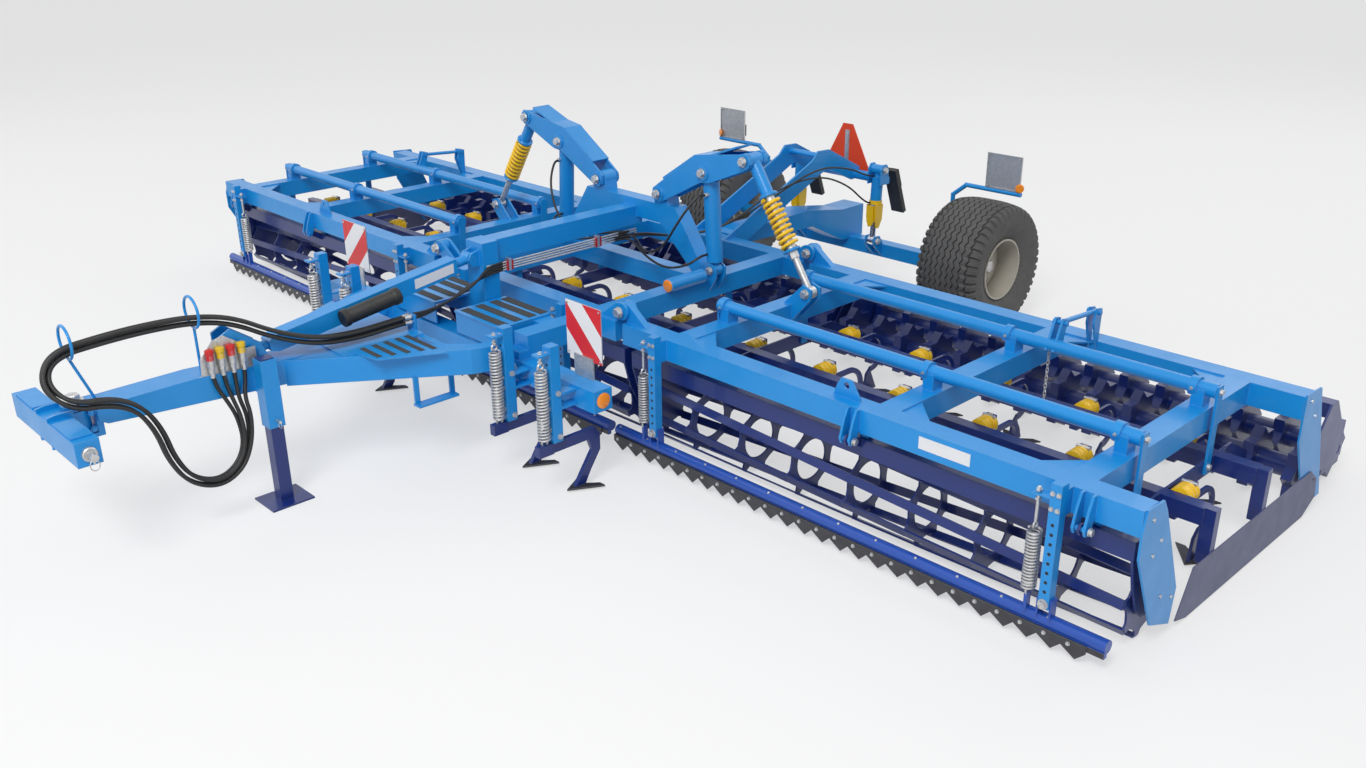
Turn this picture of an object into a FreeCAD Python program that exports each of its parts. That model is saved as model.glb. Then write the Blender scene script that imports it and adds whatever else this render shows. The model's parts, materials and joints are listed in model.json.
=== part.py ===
"""Towed seedbed cultivator with two folding wings.

Frame of the model: X across the machine (+X is its left side), Y along it (-Y is the drawbar
end), Z up from the ground.  Inside the functions every Y is measured from the front face of the
levelling teeth; each sub-part's Placement then moves it by datum_y, so that the origin is under
the middle of the machine.
"""
import FreeCAD, Part
import math
import os
import re
import Sketcher
from FreeCAD import Placement, Rotation, Vector

SIZES = {
    # whole machine
    "datum_y": (-511, "levelling line from the origin"),
    "half_width": (3950, "middle to the outer end of the tools"),
    "hinge_x": (900, "middle to the fold hinge"),
    "hinge_z": (800, "height of the fold hinge"),
    "hinge_gap": (30, "hinge line to the end of either beam"),
    "tool_gap": (35, "hinge line to the tools of a wing"),
    "centre_tool_gap": (-25, "hinge line to the tools of the middle"),
    "running_gap": (0.3, "clearance between pieces that seat on each other"),
    # box beams
    "beam": (120, "side of the box beams"),
    "beam_low": (620, "underside of the box beams"),
    "front_beam_y": (90, "front face of the front beam"),
    "rear_beam_y": (1680, "front face of the rear beam"),
    "inner_long_x": (1320, "first lengthwise beam of a wing"),
    "middle_long_x": (2680, "second lengthwise beam of a wing"),
    "outer_long_x": (3670, "third lengthwise beam of a wing"),
    "centre_long_x": (650, "lengthwise beams of the middle"),
    "end_plate": (10, "thickness of the wing's end plates"),
    "gusset": (170, "legs of the corner plates between the beams"),
    "lug_x": (2468, "lifting lug of a wing"),
    "inner_ear_x": (2565, "inner roller ears of a wing"),
    "outer_ear_x": (3762, "outer roller ears of a wing"),
    "ear_bolt_y": (45, "bolt of the roller ears along"),
    "ear_bolt_z": (592, "bolt of the roller ears height"),
    "spindle_x": (2900, "spindle of the rear depth shaft"),
    # fold hinge and fold gear
    "ear": (20, "thickness of a hinge ear"),
    "ear_round": (50, "radius of a hinge ear"),
    "fold_y": (1040, "plane of the fold gear"),
    "pivot_x": (290, "rocker pivot across"),
    "pivot_z": (1210, "rocker pivot height"),
    "rocker_pin_x": (680, "cylinder pin of the rocker across"),
    "rocker_pin_z": (1400, "cylinder pin of the rocker height"),
    "strut_top_x": (1020, "strut pin of the rocker across"),
    "strut_top_z": (1520, "strut pin of the rocker height"),
    "strut_foot_x": (1480, "lower strut pin across"),
    "strut_foot_z": (826, "lower strut pin height"),
    "cylinder_foot_x": (720, "lower pin of the fold cylinder across"),
    "cylinder_foot_z": (800, "lower pin of the fold cylinder height"),
    "rocker_width": (140, "rocker over its two plates"),
    "rocker_plate": (12, "thickness of a rocker plate"),
    "barrel_round": (50, "radius of the fold cylinder"),
    "rod_round": (25, "radius of the fold cylinder's rod"),
    "eye_round": (38, "radius of the rod eyes"),
    "eye_width": (50, "width of the rod eyes"),
    # levelling bars
    "tooth_pitch": (113, "pitch of the levelling teeth"),
    "tooth_tip": (20, "height of the tooth tips"),
    "tooth_root": (62, "height between the teeth"),
    "blade_top": (100, "upper edge of the tooth blade"),
    "blade": (8, "thickness of the tooth blade"),
    "level_bar": (60, "side of the levelling bar"),
    "level_bar_low": (90, "underside of the levelling bar"),
    "post": (50, "side of the levelling posts"),
    "post_low": (190, "lower end of the levelling posts"),
    "post_high": (770, "upper end of the levelling posts"),
    "coil_round": (22, "radius of the levelling springs"),
    "coil_low": (230, "lower end of the levelling springs"),
    "coil_high": (520, "upper end of the levelling springs"),
    "coil_side": (62, "post to its spring"),
    "eyebolt_round": (8, "radius of the eyebolts"),
    "eye_bolt": (12, "radius of the roller ear bolts"),
    "inner_post_x": (1262, "inner levelling post of a wing"),
    "outer_post_x": (3662, "outer levelling post of a wing"),
    "centre_post_x": (480, "levelling posts of the middle"),
    # front roller
    "front_roller_y": (380, "axle of the front roller"),
    "front_roller_round": (200, "radius of the front roller"),
    "ground_gap": (5, "rollers clear of the ground when parked"),
    "slat": (45, "width of the roller slats"),
    "slat_thick": (10, "thickness of the roller slats"),
    "slat_count": (8, "slats of the front roller"),
    "slat_twist": (12, "turn of a slat along each metre, in degrees"),
    "spider_root": (158, "radius of the spiders between the slats"),
    "spider_hole": (112, "radius of the hole in the spiders"),
    "spider_gap": (380, "largest distance between the roller's spiders"),
    "axle_round": (25, "radius of the roller stub axles"),
    "bearing_gap": (0.4, "stub axle in its bearing"),
    "fold_pin": (24, "radius of the fold hinge and rocker pins"),
    "foot_pin": (15, "radius of the cylinder pins"),
    "roller_plate": (12, "thickness of the roller side plates"),
    "roller_end_gap": (12, "roller to its side plates"),
    "roller_beam_y": (150, "front face of the front roller's beam"),
    "roller_beam_low": (470, "underside of the front roller's beam"),
    "roller_beam_deep": (80, "depth of the roller beams"),
    "roller_beam_high": (90, "height of the front roller's beam"),
    # tines
    "tine_row": (790, "front face of the first tine beam"),
    "tine_row_step": (550, "first tine beam to the second"),
    "tine_beam": (70, "depth of the tine beams"),
    "tine_beam_low": (385, "underside of the tine beams"),
    "tine_beam_high": (85, "height of the tine beams"),
    "tine_pitch": (525, "tines of one row"),
    "tine_bow": (110, "middle radius of the tine's bow"),
    "tine_bow_y": (355, "tine beam to the centre of the bow"),
    "tine_bow_z": (268, "height of the centre of the bow"),
    "shank": (30, "depth of the tine shank"),
    "shank_thick": (16, "thickness of the tine shank"),
    "share_width": (250, "width of a share"),
    "share_long": (170, "length of a share"),
    "share_low": (12, "height of the share points"),
    "share_thick": (8, "thickness of a share"),
    "yellow_round": (50, "radius of the tine springs"),
    "yellow_long": (115, "length of the tine springs"),
    # rear rollers
    "rear_roller_y": (2100, "axle of the first rear roller"),
    "rear_roller_step": (390, "first rear roller to the second"),
    "rear_roller_round": (175, "radius over the lugs"),
    "lug_root": (135, "radius between the lugs"),
    "lug_count": (8, "lugs of a ring"),
    "ring_pitch": (222, "largest pitch of the rings"),
    "ring_wide": (55, "width of a ring"),
    "roller_tube": (60, "radius of the rear roller tubes"),
    "rear_roller_beam_y": (2255, "front face of the rear roller beam"),
    "rear_roller_beam_low": (430, "underside of the rear roller beam"),
    # depth gear
    "shaft_round": (35, "radius of the depth shafts"),
    "shaft_z": (822, "height of the depth shafts"),
    "front_shaft_y": (540, "first depth shaft"),
    "rear_shaft_y": (1260, "second depth shaft"),
    "collar": (12, "wall of the depth shaft bearings"),
    "link": (50, "width of the depth links"),
    "link_thick": (12, "thickness of the depth links"),
    "inner_link_x": (1240, "inner depth links"),
    "outer_link_x": (3735, "outer depth links"),
    # transport axle
    "swing_y": (1900, "axle swing pivot along"),
    "swing_z": (700, "axle swing pivot height"),
    "swing_half": (95, "half the width of the axle beam"),
    "wheel_x": (1200, "middle of the tread from the middle"),
    "wheel_y": (3220, "wheel axle along"),
    "wheel_round": (462, "outer radius of the tyre"),
    "tyre_width": (480, "width of the tyre"),
    "rim_round": (216, "radius of the rim"),
    "rim_width": (400, "width of the rim"),
    "hub_round": (40, "radius of the stub axle"),
    "lift_x": (370, "lift cylinders from the middle"),
    "lift_top_y": (3100, "upper lift pin along"),
    "lift_top_z": (1030, "upper lift pin height"),
    "lift_foot_y": (3070, "lower lift pin along"),
    "lift_foot_z": (500, "lower lift pin height"),
    "lift_barrel_round": (42, "radius of the lift cylinders"),
    "lift_barrel_long": (382, "upper lift pin to the end of the barrel"),
    "lift_rod_start": (192, "upper lift pin to the hidden end of the rod"),
    "lift_ear_low": (925, "lower edge of the upper lift ears"),
    # drawbar
    "draw_hinge_y": (-530, "drawbar hinge along"),
    "draw_hinge_z": (600, "drawbar hinge height"),
    "draw_leg_x": (640, "drawbar legs at the hinge"),
    "nose_y": (-2440, "front of the drawbar nose"),
    "jack_x": (150, "jack across"),
    "jack_y": (-1630, "jack along"),
    "jack_leg": (70, "side of the jack leg"),
    "jack_wall": (8, "wall of the jack sleeve"),
    "foot_long": (235, "jack foot along"),
    "foot_wide": (210, "jack foot across"),
    "yaw_y": (-2510, "hitch swivel along"),
    "hitch_z": (690, "height of the hitch bar"),
    "hitch_half": (410, "half the hitch bar"),
    "hitch_pin": (18.3, "radius of the lower link pins"),
    "hitch_pin_long": (75, "length of the lower link pins"),
    "link_top_y": (-262, "upper link pin on the tower along"),
    "link_top_z": (1000, "upper link pin on the tower height"),
    "link_foot_y": (-1620, "upper link pin on the drawbar along"),
    "link_foot_z": (800, "upper link pin on the drawbar height"),
    "link_half": (46, "half the side of the upper link's sleeve"),
    "link_bore": (28, "radius of the bore in the upper link's sleeve"),
    "hoop_front_y": (-2490, "first hose hoop along"),
    "hoop_rear_y": (-1895, "second hose hoop along"),
    "hoop_z": (1075, "height of the hose hoops"),
    "hoop_round": (80, "radius of the hose hoops"),
    "hose_round": (10.5, "radius of the hoses"),
    "socket_x": (96, "hose couplers across"),
    "loosener_beam_y": (-460, "front face of the track loosener beam"),
    "loosener_beam_low": (490, "underside of the track loosener beam"),
    "inner_loosener_x": (770, "inner track loosener"),
    "outer_loosener_x": (1160, "outer track loosener"),
}

doc = FreeCAD.newDocument("seedbed_cultivator")
sheet = doc.addObject("Spreadsheet::Sheet", "Sizes")
for row, (alias, (size, note)) in enumerate(SIZES.items(), start=1):
    sheet.set("A%d" % row, note)
    sheet.set("B%d" % row, str(size))
    sheet.setAlias("B%d" % row, alias)
doc.recompute()

ALIAS = re.compile(r"\b(" + "|".join(sorted(SIZES, key=len, reverse=True)) + r")\b")
nodes = []


def formula(text):
    """The expression with every alias tied to the sheet."""
    return ALIAS.sub(lambda found: "Sizes." + found.group(1), str(text))


def value(text):
    """The number that an expression of the sheet gives."""
    return float(sheet.evalExpression(formula(text)))


def bind(item, prop, text):
    item.setExpression(prop, formula(text))


def place(item, at):
    for axis, text in zip("xyz", at):
        bind(item, "Placement.Base." + axis, text)
    return item


def box(name, low, size):
    """Box from its lowest corner and its three sides."""
    item = doc.addObject("Part::Box", name)
    for prop, text in zip(("Length", "Width", "Height"), size):
        bind(item, prop, text)
    return place(item, low)


def spin(axis):
    """Rotation that turns +Z to a direction."""
    return Rotation(Vector(0, 0, 1), axis)


def rod(name, start, axis, radius, length):
    """Cylinder from the centre of one end, along X, Y or Z."""
    item = doc.addObject("Part::Cylinder", name)
    bind(item, "Radius", radius)
    bind(item, "Height", length)
    item.Placement = Placement(Vector(), spin({"x": Vector(1, 0, 0), "y": Vector(0, 1, 0),
                                               "z": Vector(0, 0, 1)}[axis]))
    return place(item, start)


def between(name, start, end, radius):
    """Cylinder from one point to another."""
    item = doc.addObject("Part::Cylinder", name)
    run = [value(b) - value(a) for a, b in zip(start, end)]
    bind(item, "Radius", radius)
    bind(item, "Height", "sqrt(" + " + ".join("((%s) - (%s))^2" % (b, a) for a, b in zip(start, end)) + ")")
    item.Placement = Placement(Vector(), spin(Vector(*run)))
    return place(item, start)


def plate(name, plane, at, thickness, corners):
    """Plate whose outline lies in the YZ or XZ plane, from its corners; it grows along +X or +Y."""
    body = doc.addObject("PartDesign::Body", name)
    role = {"yz": "YZ_Plane", "xz": "XZ_Plane", "xy": "XY_Plane"}[plane]
    origin = next(item for item in body.Origin.OriginFeatures if item.Role == role)
    sketch = body.newObject("Sketcher::SketchObject", name + "_outline")
    sketch.AttachmentSupport = (origin, [""])
    sketch.MapMode = "FlatFace"
    points = [Vector(value(u), value(v), 0) for u, v in corners]
    count = len(points)
    for index in range(count):
        sketch.addGeometry(Part.LineSegment(points[index], points[(index + 1) % count]))
    for index in range(count):
        sketch.addConstraint(Sketcher.Constraint("Coincident", index, 2, (index + 1) % count, 1))
    for index, corner in enumerate(corners):
        for kind, text, number in zip(("DistanceX", "DistanceY"), corner, points[index]):
            held = sketch.addConstraint(Sketcher.Constraint(kind, index, 1, number))
            sketch.setExpression("Constraints[%d]" % held, formula(text))
    pad = body.newObject("PartDesign::Pad", name + "_pad")
    pad.Profile = sketch
    bind(pad, "Length", thickness)
    pad.Reversed = plane == "xz"
    body.Tip = pad
    along = {"yz": "x", "xz": "y", "xy": "z"}[plane]
    bind(body, "Placement.Base." + along, at)
    return body


def fuse(name, parts):
    item = doc.addObject("Part::MultiFuse", name)
    item.Shapes = parts
    return item


def cut(name, base, tool):
    item = doc.addObject("Part::Cut", name)
    item.Base = base
    item.Tool = tool
    return item


def mirrored(name, source):
    """The same piece on the other side of the machine."""
    item = doc.addObject("Part::Mirroring", name)
    item.Source = source
    item.Normal = Vector(1, 0, 0)
    return item


def copies(name, source, steps):
    """A piece and its like at several offsets."""
    doc.recompute()
    item = doc.addObject("Part::Feature", name)
    item.Shape = Part.makeCompound([source.Shape.translated(Vector(*step)) for step in steps])
    return item


def node(name, item):
    """Takes a finished sub-part into the list that is written out."""
    item.Label = name
    nodes.append(item)
    return item


def finish(name, parts):
    """Joins pieces into one sub-part and moves it to the machine's origin."""
    item = fuse(name, parts) if len(parts) > 1 else compound(name, parts)
    bind(item, "Placement.Base.y", "datum_y")
    return node(name, item)


def compound(name, parts):
    item = doc.addObject("Part::Compound", name)
    item.Links = parts
    return item


def other_side(name, source):
    """The right-hand copy of a finished left-hand sub-part."""
    return node(name, mirrored(name, source))


def both_sides(parts):
    return parts + [mirrored(part.Name + "_right", part) for part in parts]


BEAM_TOP = "beam_low + beam"
HOSE_ENDS = (-1880, -1825, -1770, -1715)
HOSE_ROUTE = (
    (150, -771, 780), (150, -900, 778), (142, -1110, 768), (132, -1330, 790), (92, -1540, 872),
    (50, -1720, 985), (2, -1895, 1022), (0, -2110, 1036), (0, -2320, 1034), (8, -2562, 1020),
    (95.5, -2634, 931), (183, -2562, 842), (200, -2400, 830), (215, -2280, 760), (225, -2210, 620),
    (228, -2180, 460), (226, -2110, 325), (222, -1985, 262), (204, -1870, 300), (182, -1805, 400),
    (152, -1790, 530))
WING_START = "hinge_x + tool_gap"
CENTRE_HALF = "hinge_x + centre_tool_gap"


# ---------------------------------------------------------------- levelling bars
def level_bar(name, start, end, posts):
    """Square bar with a row of saw teeth in front and a clevis for each post."""
    long = "(%s) - (%s)" % (end, start)
    bar = rod(name + "_bar", (start, "blade + level_bar/2", "level_bar_low + level_bar/2"), "x", "level_bar/2", long)
    strip = box(name + "_strip", (start, "blade", "blade_top - 28"), (long, 24, 28))
    count = int(value(long) // value("tooth_pitch"))
    tooth = plate(name + "_tooth", "xz", 0, "blade", [
        (start, "blade_top"), ("(%s) + tooth_pitch" % start, "blade_top"),
        ("(%s) + tooth_pitch" % start, "tooth_root"), ("(%s) + tooth_pitch*0.62" % start, "tooth_tip"),
        (start, "tooth_root")])
    pattern = tooth.newObject("PartDesign::LinearPattern", name + "_teeth")
    pattern.Originals = [tooth.Tip]
    axis = next(item for item in tooth.Origin.OriginFeatures if item.Role == "X_Axis")
    pattern.Direction = (axis, [""])
    bind(pattern, "Length", "tooth_pitch*%d" % (count - 1))
    pattern.Occurrences = count
    tooth.Tip = pattern
    parts = [bar, strip, tooth]
    for index, post in enumerate(posts):
        for side, low in (("a", "(%s) - post/2 - running_gap - 10" % post),
                          ("b", "(%s) + post/2 + running_gap" % post)):
            parts.append(box("%s_lug_%d%s" % (name, index, side), (low, "blade", "level_bar_low + level_bar/2"),
                             (10, 45, "85 + level_bar/2")))
        parts.append(box("%s_hook_%d" % (name, index),
                         ("(%s) - post/2 - coil_side - 8" % post, "blade", "level_bar_low + level_bar/2"),
                         (16, 30, "coil_low - level_bar_low - level_bar/2 - running_gap")))
    return finish(name, parts)


def level_posts(name, posts):
    """Light posts that hang the levelling bar from the front beam; part of the frame."""
    parts = []
    for index, post in enumerate(posts):
        low = "(%s) - post/2" % post
        parts.append(box("%s_%d" % (name, index), (low, 0, "post_low"), ("post", "post", "post_high - post_low")))
        parts.append(box("%s_seat_%d" % (name, index), (low, "post", "beam_low"),
                         ("post", "front_beam_y - post", "beam")))
        shelf = box("%s_shelf_%d" % (name, index), ("(%s) - coil_side - 20" % low, 5, 690),
                    ("coil_side + 20", 40, 10))
        hole = rod("%s_hole_%d" % (name, index), ("(%s) - coil_side" % low, 23, 680), "z",
                   "eyebolt_round + running_gap", 30)
        parts.append(cut("%s_bracket_%d" % (name, index), shelf, hole))
    return parts


def level_springs(name, posts):
    """Coil springs with their eyebolts, one beside each levelling post."""
    parts = []
    for index, post in enumerate(posts):
        x = "(%s) - post/2 - coil_side" % post
        parts.append(rod("%s_coil_%d" % (name, index), (x, 23, "coil_low"), "z", "coil_round",
                         "coil_high - coil_low"))
        parts.append(rod("%s_bolt_%d" % (name, index), (x, 23, "coil_high"), "z", "eyebolt_round", 200))
        parts.append(rod("%s_nut_%d" % (name, index), (x, 23, "700 + running_gap"), "z", 15, 14))
    return parts


# ---------------------------------------------------------------- rollers
def slat_roller(name, start, end):
    """Open roller: slats on spiders, with stub axles in its side plates."""
    z = "front_roller_round + ground_gap"
    first = "(%s) + roller_plate + roller_end_gap" % start
    last = "(%s) - roller_plate - roller_end_gap" % end
    long = value(last) - value(first)
    count = int(long // value("spider_gap")) + 1
    slat_count = int(value("slat_count"))
    corners = []
    for index in range(slat_count):
        for radius, turned in (("spider_root", -180.0/slat_count), ("(spider_root + 8)", -9), ("(front_roller_round - 9)", -5),
                               ("(front_roller_round - 9)", 5), ("(spider_root + 8)", 9)):
            angle = math.radians(360.0*index/slat_count + turned)
            corners.append(("front_roller_y - %s*(%.9f)" % (radius, math.sin(angle)),
                            "(%s) + %s*(%.9f)" % (z, radius, math.cos(angle))))
    star = plate(name + "_star", "yz", first, "slat_thick", corners)
    hole = rod(name + "_star_hole", ("(%s) - 1" % first, "front_roller_y", z), "x", "spider_hole", "slat_thick + 2")
    spider = cut(name + "_spider", star, hole)
    doc.recompute()
    step = (long - value("slat_thick"))/count
    turn = value("slat_twist")*step/1000
    centre = Vector(value(first), value("front_roller_y"), value(z))
    spiders = doc.addObject("Part::Feature", name + "_spiders")
    spiders.Shape = Part.makeCompound([
        spider.Shape.rotated(centre, Vector(1, 0, 0), turn*index).translated(Vector(index*step, 0, 0))
        for index in range(count + 1)])
    discs = [rod("%s_disc_%s" % (name, side), (x, "front_roller_y", z), "x", "spider_hole + 6", "slat_thick")
             for side, x in (("a", first), ("b", "(%s) - slat_thick" % last))]
    slats = []
    height = value("front_roller_round - slat_thick/2")
    for index in range(slat_count):
        for span in range(count):
            angle = 360.0*index/value("slat_count") + turn*span
            ends = [centre + Rotation(Vector(1, 0, 0), angle + turn*k).multVec(Vector(step*(span + k) + 5, 0, height))
                    for k in (0, 1)]
            run = ends[1] - ends[0]
            outward = Rotation(Vector(1, 0, 0), angle + turn/2).multVec(Vector(0, 0, 1))
            facing = Rotation(run, run.cross(outward)*-1, outward, "XZY")
            low = ends[0] - facing.multVec(Vector(0, value("slat")/2, value("slat_thick")/2))
            slat = doc.addObject("Part::Box", "%s_slat_%d_%d" % (name, index, span))
            bind(slat, "Width", "slat")
            bind(slat, "Height", "slat_thick")
            slat.Length = run.Length
            slat.Placement = Placement(low, facing)
            slats.append(slat)
    stubs = [rod(name + "_stub_a", ("(%s) + 2" % start, "front_roller_y", z), "x", "axle_round",
                 "roller_plate + roller_end_gap"),
             rod(name + "_stub_b", ("(%s) + 0" % last, "front_roller_y", z), "x", "axle_round",
                 "roller_plate + roller_end_gap - 2")]
    return finish(name, [spiders] + discs + slats + stubs)


def lug_roller(name, start, end, y):
    """Tube with lugged rings, and stub axles in its side plates."""
    z = "rear_roller_round + ground_gap"
    first = "(%s) + roller_plate + roller_end_gap" % start
    last = "(%s) - roller_plate - roller_end_gap" % end
    long = value(last) - value(first)
    count = int(long // value("ring_pitch"))
    lugs = int(value("lug_count"))
    points = []
    for index in range(2*lugs):
        angle = math.pi*index/lugs
        radius = "rear_roller_round" if index % 2 == 0 else "lug_root"
        points.append(("(%s) + %s*(%.9f)" % (y, radius, math.sin(angle)),
                       "(%s) + %s*(%.9f)" % (z, radius, -math.cos(angle))))
    ring = plate(name + "_ring", "yz", first, "ring_wide", points)
    rings = copies(name + "_rings", ring,
                   [(index*(long - value("ring_wide"))/count, 0, 0) for index in range(count + 1)])
    tube = rod(name + "_tube", (first, y, z), "x", "roller_tube", long)
    stubs = [rod(name + "_stub_a", ("(%s) + 2" % start, y, z), "x", "axle_round", "roller_plate + roller_end_gap"),
             rod(name + "_stub_b", (last, y, z), "x", "axle_round", "roller_plate + roller_end_gap - 2")]
    return finish(name, [rings, tube] + stubs)


def side_plate(name, at, corners, axles):
    """Side plate of a roller frame with a bearing hole for each axle."""
    blank = plate(name + "_blank", "yz", at, "roller_plate", corners)
    holes = [rod("%s_hole_%d" % (name, index), ("(%s) - 1" % at, y, z), "x", "axle_round + bearing_gap",
                 "roller_plate + 2") for index, (y, z) in enumerate(axles)]
    tool = fuse(name + "_holes", holes) if len(holes) > 1 else holes[0]
    return cut(name, blank, tool)


def roller_frames(name, start, end, arms, ears):
    """Beams and side plates that carry the front roller and the two rear rollers."""
    long = "(%s) - (%s)" % (end, start)
    front_z = "front_roller_round + ground_gap"
    rear_z = "rear_roller_round + ground_gap"
    second = "rear_roller_y + rear_roller_step"
    parts = [box(name + "_front_beam", (start, "roller_beam_y", "roller_beam_low"),
                 (long, "roller_beam_deep", "roller_beam_high")),
             box(name + "_rear_beam", (start, "rear_roller_beam_y", "rear_roller_beam_low"),
                 (long, "roller_beam_deep", "roller_beam_deep"))]
    for side, at in (("a", start), ("b", "(%s) - roller_plate" % end)):
        parts.append(side_plate("%s_front_%s" % (name, side), at, [
            ("roller_beam_y", "roller_beam_low + roller_beam_high"),
            ("roller_beam_y", "roller_beam_low"),
            ("front_roller_y - 190", "(%s) + 120" % front_z), ("front_roller_y - 130", "(%s) - 10" % front_z),
            ("front_roller_y - 60", "(%s) - 75" % front_z), ("front_roller_y + 40", "(%s) - 75" % front_z),
            ("front_roller_y + 80", "(%s) - 20" % front_z), ("front_roller_y + 40", "(%s) + 150" % front_z),
            ("front_roller_y - 40", "(%s) + 280" % front_z),
            ("roller_beam_y + roller_beam_deep", "roller_beam_low + roller_beam_high")],
            [("front_roller_y", front_z)]))
        parts.append(side_plate("%s_rear_%s" % (name, side), at, [
            ("rear_roller_y - 55", "(%s) - 50" % rear_z), ("(%s) + 55" % second, "(%s) - 50" % rear_z),
            ("(%s) + 60" % second, "(%s) + 60" % rear_z),
            ("rear_roller_beam_y + roller_beam_deep", "rear_roller_beam_low + roller_beam_deep"),
            ("rear_roller_beam_y", "rear_roller_beam_low + roller_beam_deep"),
            ("rear_roller_y - 60", "(%s) + 60" % rear_z)],
            [("rear_roller_y", rear_z), (second, rear_z)]))
    for index, x in enumerate(ears):
        link = plate("%s_link_blank_%d" % (name, index), "yz", "(%s) - link_thick/2" % x, "link_thick", [
            ("roller_beam_y + 10", "roller_beam_low + roller_beam_high - 5"), ("roller_beam_y + 10", "roller_beam_low + 40"),
            ("ear_bolt_y + 25", "ear_bolt_z - 28"), ("ear_bolt_y - 10", "ear_bolt_z - 26"), ("ear_bolt_y - 27", "ear_bolt_z"),
            ("ear_bolt_y - 10", "ear_bolt_z + 26"), ("ear_bolt_y + 25", "ear_bolt_z + 16")])
        parts.append(cut("%s_link_%d" % (name, index), link, rod("%s_link_hole_%d" % (name, index), (
            "(%s) - link_thick" % x, "ear_bolt_y", "ear_bolt_z"), "x", "eye_bolt + running_gap", "link_thick*2")))
    back = "rear_beam_y + beam + running_gap"
    for index, x in enumerate(arms):
        parts.append(plate("%s_arm_%d" % (name, index), "yz", "(%s) - 25" % x, 50, [
            (back, BEAM_TOP), (back, "beam_low"), ("rear_roller_beam_y", "rear_roller_beam_low + 10"),
            ("rear_roller_beam_y + 20", "rear_roller_beam_low + roller_beam_deep"),
            ("rear_roller_beam_y - 60", "rear_roller_beam_low + roller_beam_deep + 30")]))
    return finish(name, parts)


# ---------------------------------------------------------------- tines
def tine(name, x):
    """One tine of the first row: pivot block, bowed shank and share."""
    x = "(%s) - shank_thick/2" % x
    y = "tine_row + tine_bow_y"
    top = "tine_bow_z + tine_bow"
    parts = [box(name + "_block", ("(%s) - 14" % x, "tine_row + 10", "(%s) - shank/2" % top),
                 ("shank_thick + 28", "tine_beam + 30", "tine_beam_low - (%s) + shank/2 + 2" % top)),
             box(name + "_top", (x, "tine_row + 20", "(%s) - shank/2" % top),
                 ("shank_thick", "tine_bow_y - 20", "shank"))]
    outer = rod(name + "_bow_out", (x, y, "tine_bow_z"), "x", "tine_bow + shank/2", "shank_thick")
    inner = rod(name + "_bow_in", ("(%s) - 1" % x, y, "tine_bow_z"), "x", "tine_bow - shank/2", "shank_thick + 2")
    half = box(name + "_bow_half", ("(%s) - 2" % x, "(%s) - tine_bow*2" % y, "tine_bow_z - tine_bow*2"),
               ("shank_thick + 4", "tine_bow*2", "tine_bow*4"))
    parts.append(cut(name + "_bow", cut(name + "_bow_ring", outer, inner), half))
    low = "tine_bow_z - tine_bow"
    parts.append(plate(name + "_foot", "yz", x, "shank_thick", [
        ("(%s) + 1" % y, "(%s) + shank/2" % low), ("(%s) + 1" % y, "(%s) - shank/2" % low),
        ("(%s) + 60" % y, "share_low + share_thick"), ("(%s) - 60" % y, "share_low + share_thick"),
        ("(%s) - 40" % y, "(%s) + shank/2 - 40" % low)]))
    share = plate(name + "_share", "xy", "share_low", "share_thick", [
        ("(%s) + shank_thick/2" % x, "(%s) - 90" % y),
        ("(%s) + shank_thick/2 + share_width/2" % x, "(%s) - 90 + share_long" % y),
        ("(%s) + shank_thick/2 + share_width/2 - 50" % x, "(%s) - 90 + share_long" % y),
        ("(%s) + shank_thick/2" % x, "(%s) + 20" % y),
        ("(%s) + shank_thick/2 - share_width/2 + 50" % x, "(%s) - 90 + share_long" % y),
        ("(%s) + shank_thick/2 - share_width/2" % x, "(%s) - 90 + share_long" % y)])
    seat = box(name + "_seat", ("(%s) - 20" % x, "tine_row + tine_beam + yellow_long + running_gap*2",
                                "(%s)" % top), ("shank_thick + 40", 10, 110))
    return fuse(name, parts + [share, seat])


def tine_frame(name, start, end, first_row, second_row, members, outer_plate):
    """Two cross beams with their tines, joined by bowed side members."""
    long = "(%s) - (%s)" % (end, start)
    parts = []
    for index in range(2):
        parts.append(box("%s_beam_%d" % (name, index),
                         (start, "tine_row + tine_row_step*%d" % index, "tine_beam_low"),
                         (long, "tine_beam", "tine_beam_high")))
    step = value("tine_row_step")
    shift = [(x, 0, 0) for x in first_row] + [(x, step, 0) for x in second_row]
    parts.append(copies(name + "_tines", tine(name + "_tine", 0), shift))
    top = "tine_beam_low + tine_beam_high"
    for index, x in enumerate(members):
        parts.append(plate("%s_member_%d" % (name, index), "yz", x, "link_thick", [
            ("front_shaft_y - 60", 450), ("tine_row - 20", top), ("rear_roller_y - 560", top),
            ("rear_roller_y - 330", 350), ("rear_roller_y - 340", 300), ("rear_roller_y - 600", "tine_beam_low"),
            ("tine_row + 40", "tine_beam_low"), ("front_shaft_y - 60", 400)]))
    if outer_plate:
        edge = "half_width + 51"
        parts.append(plate(name + "_shield", "yz", edge, 6, [
            (530, 40), (640, 10), (1930, 10), (2065, 75), (2040, 190), (1940, 262), (640, 262)]))
        for index, y in enumerate(("tine_row + 10", "tine_row + tine_row_step + 10")):
            parts.append(box("%s_bracket_%d" % (name, index), ("half_width - 10", y, 200),
                             ("61", 50, "tine_beam_low + tine_beam_high - 200")))
    return finish(name, parts)


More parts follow.
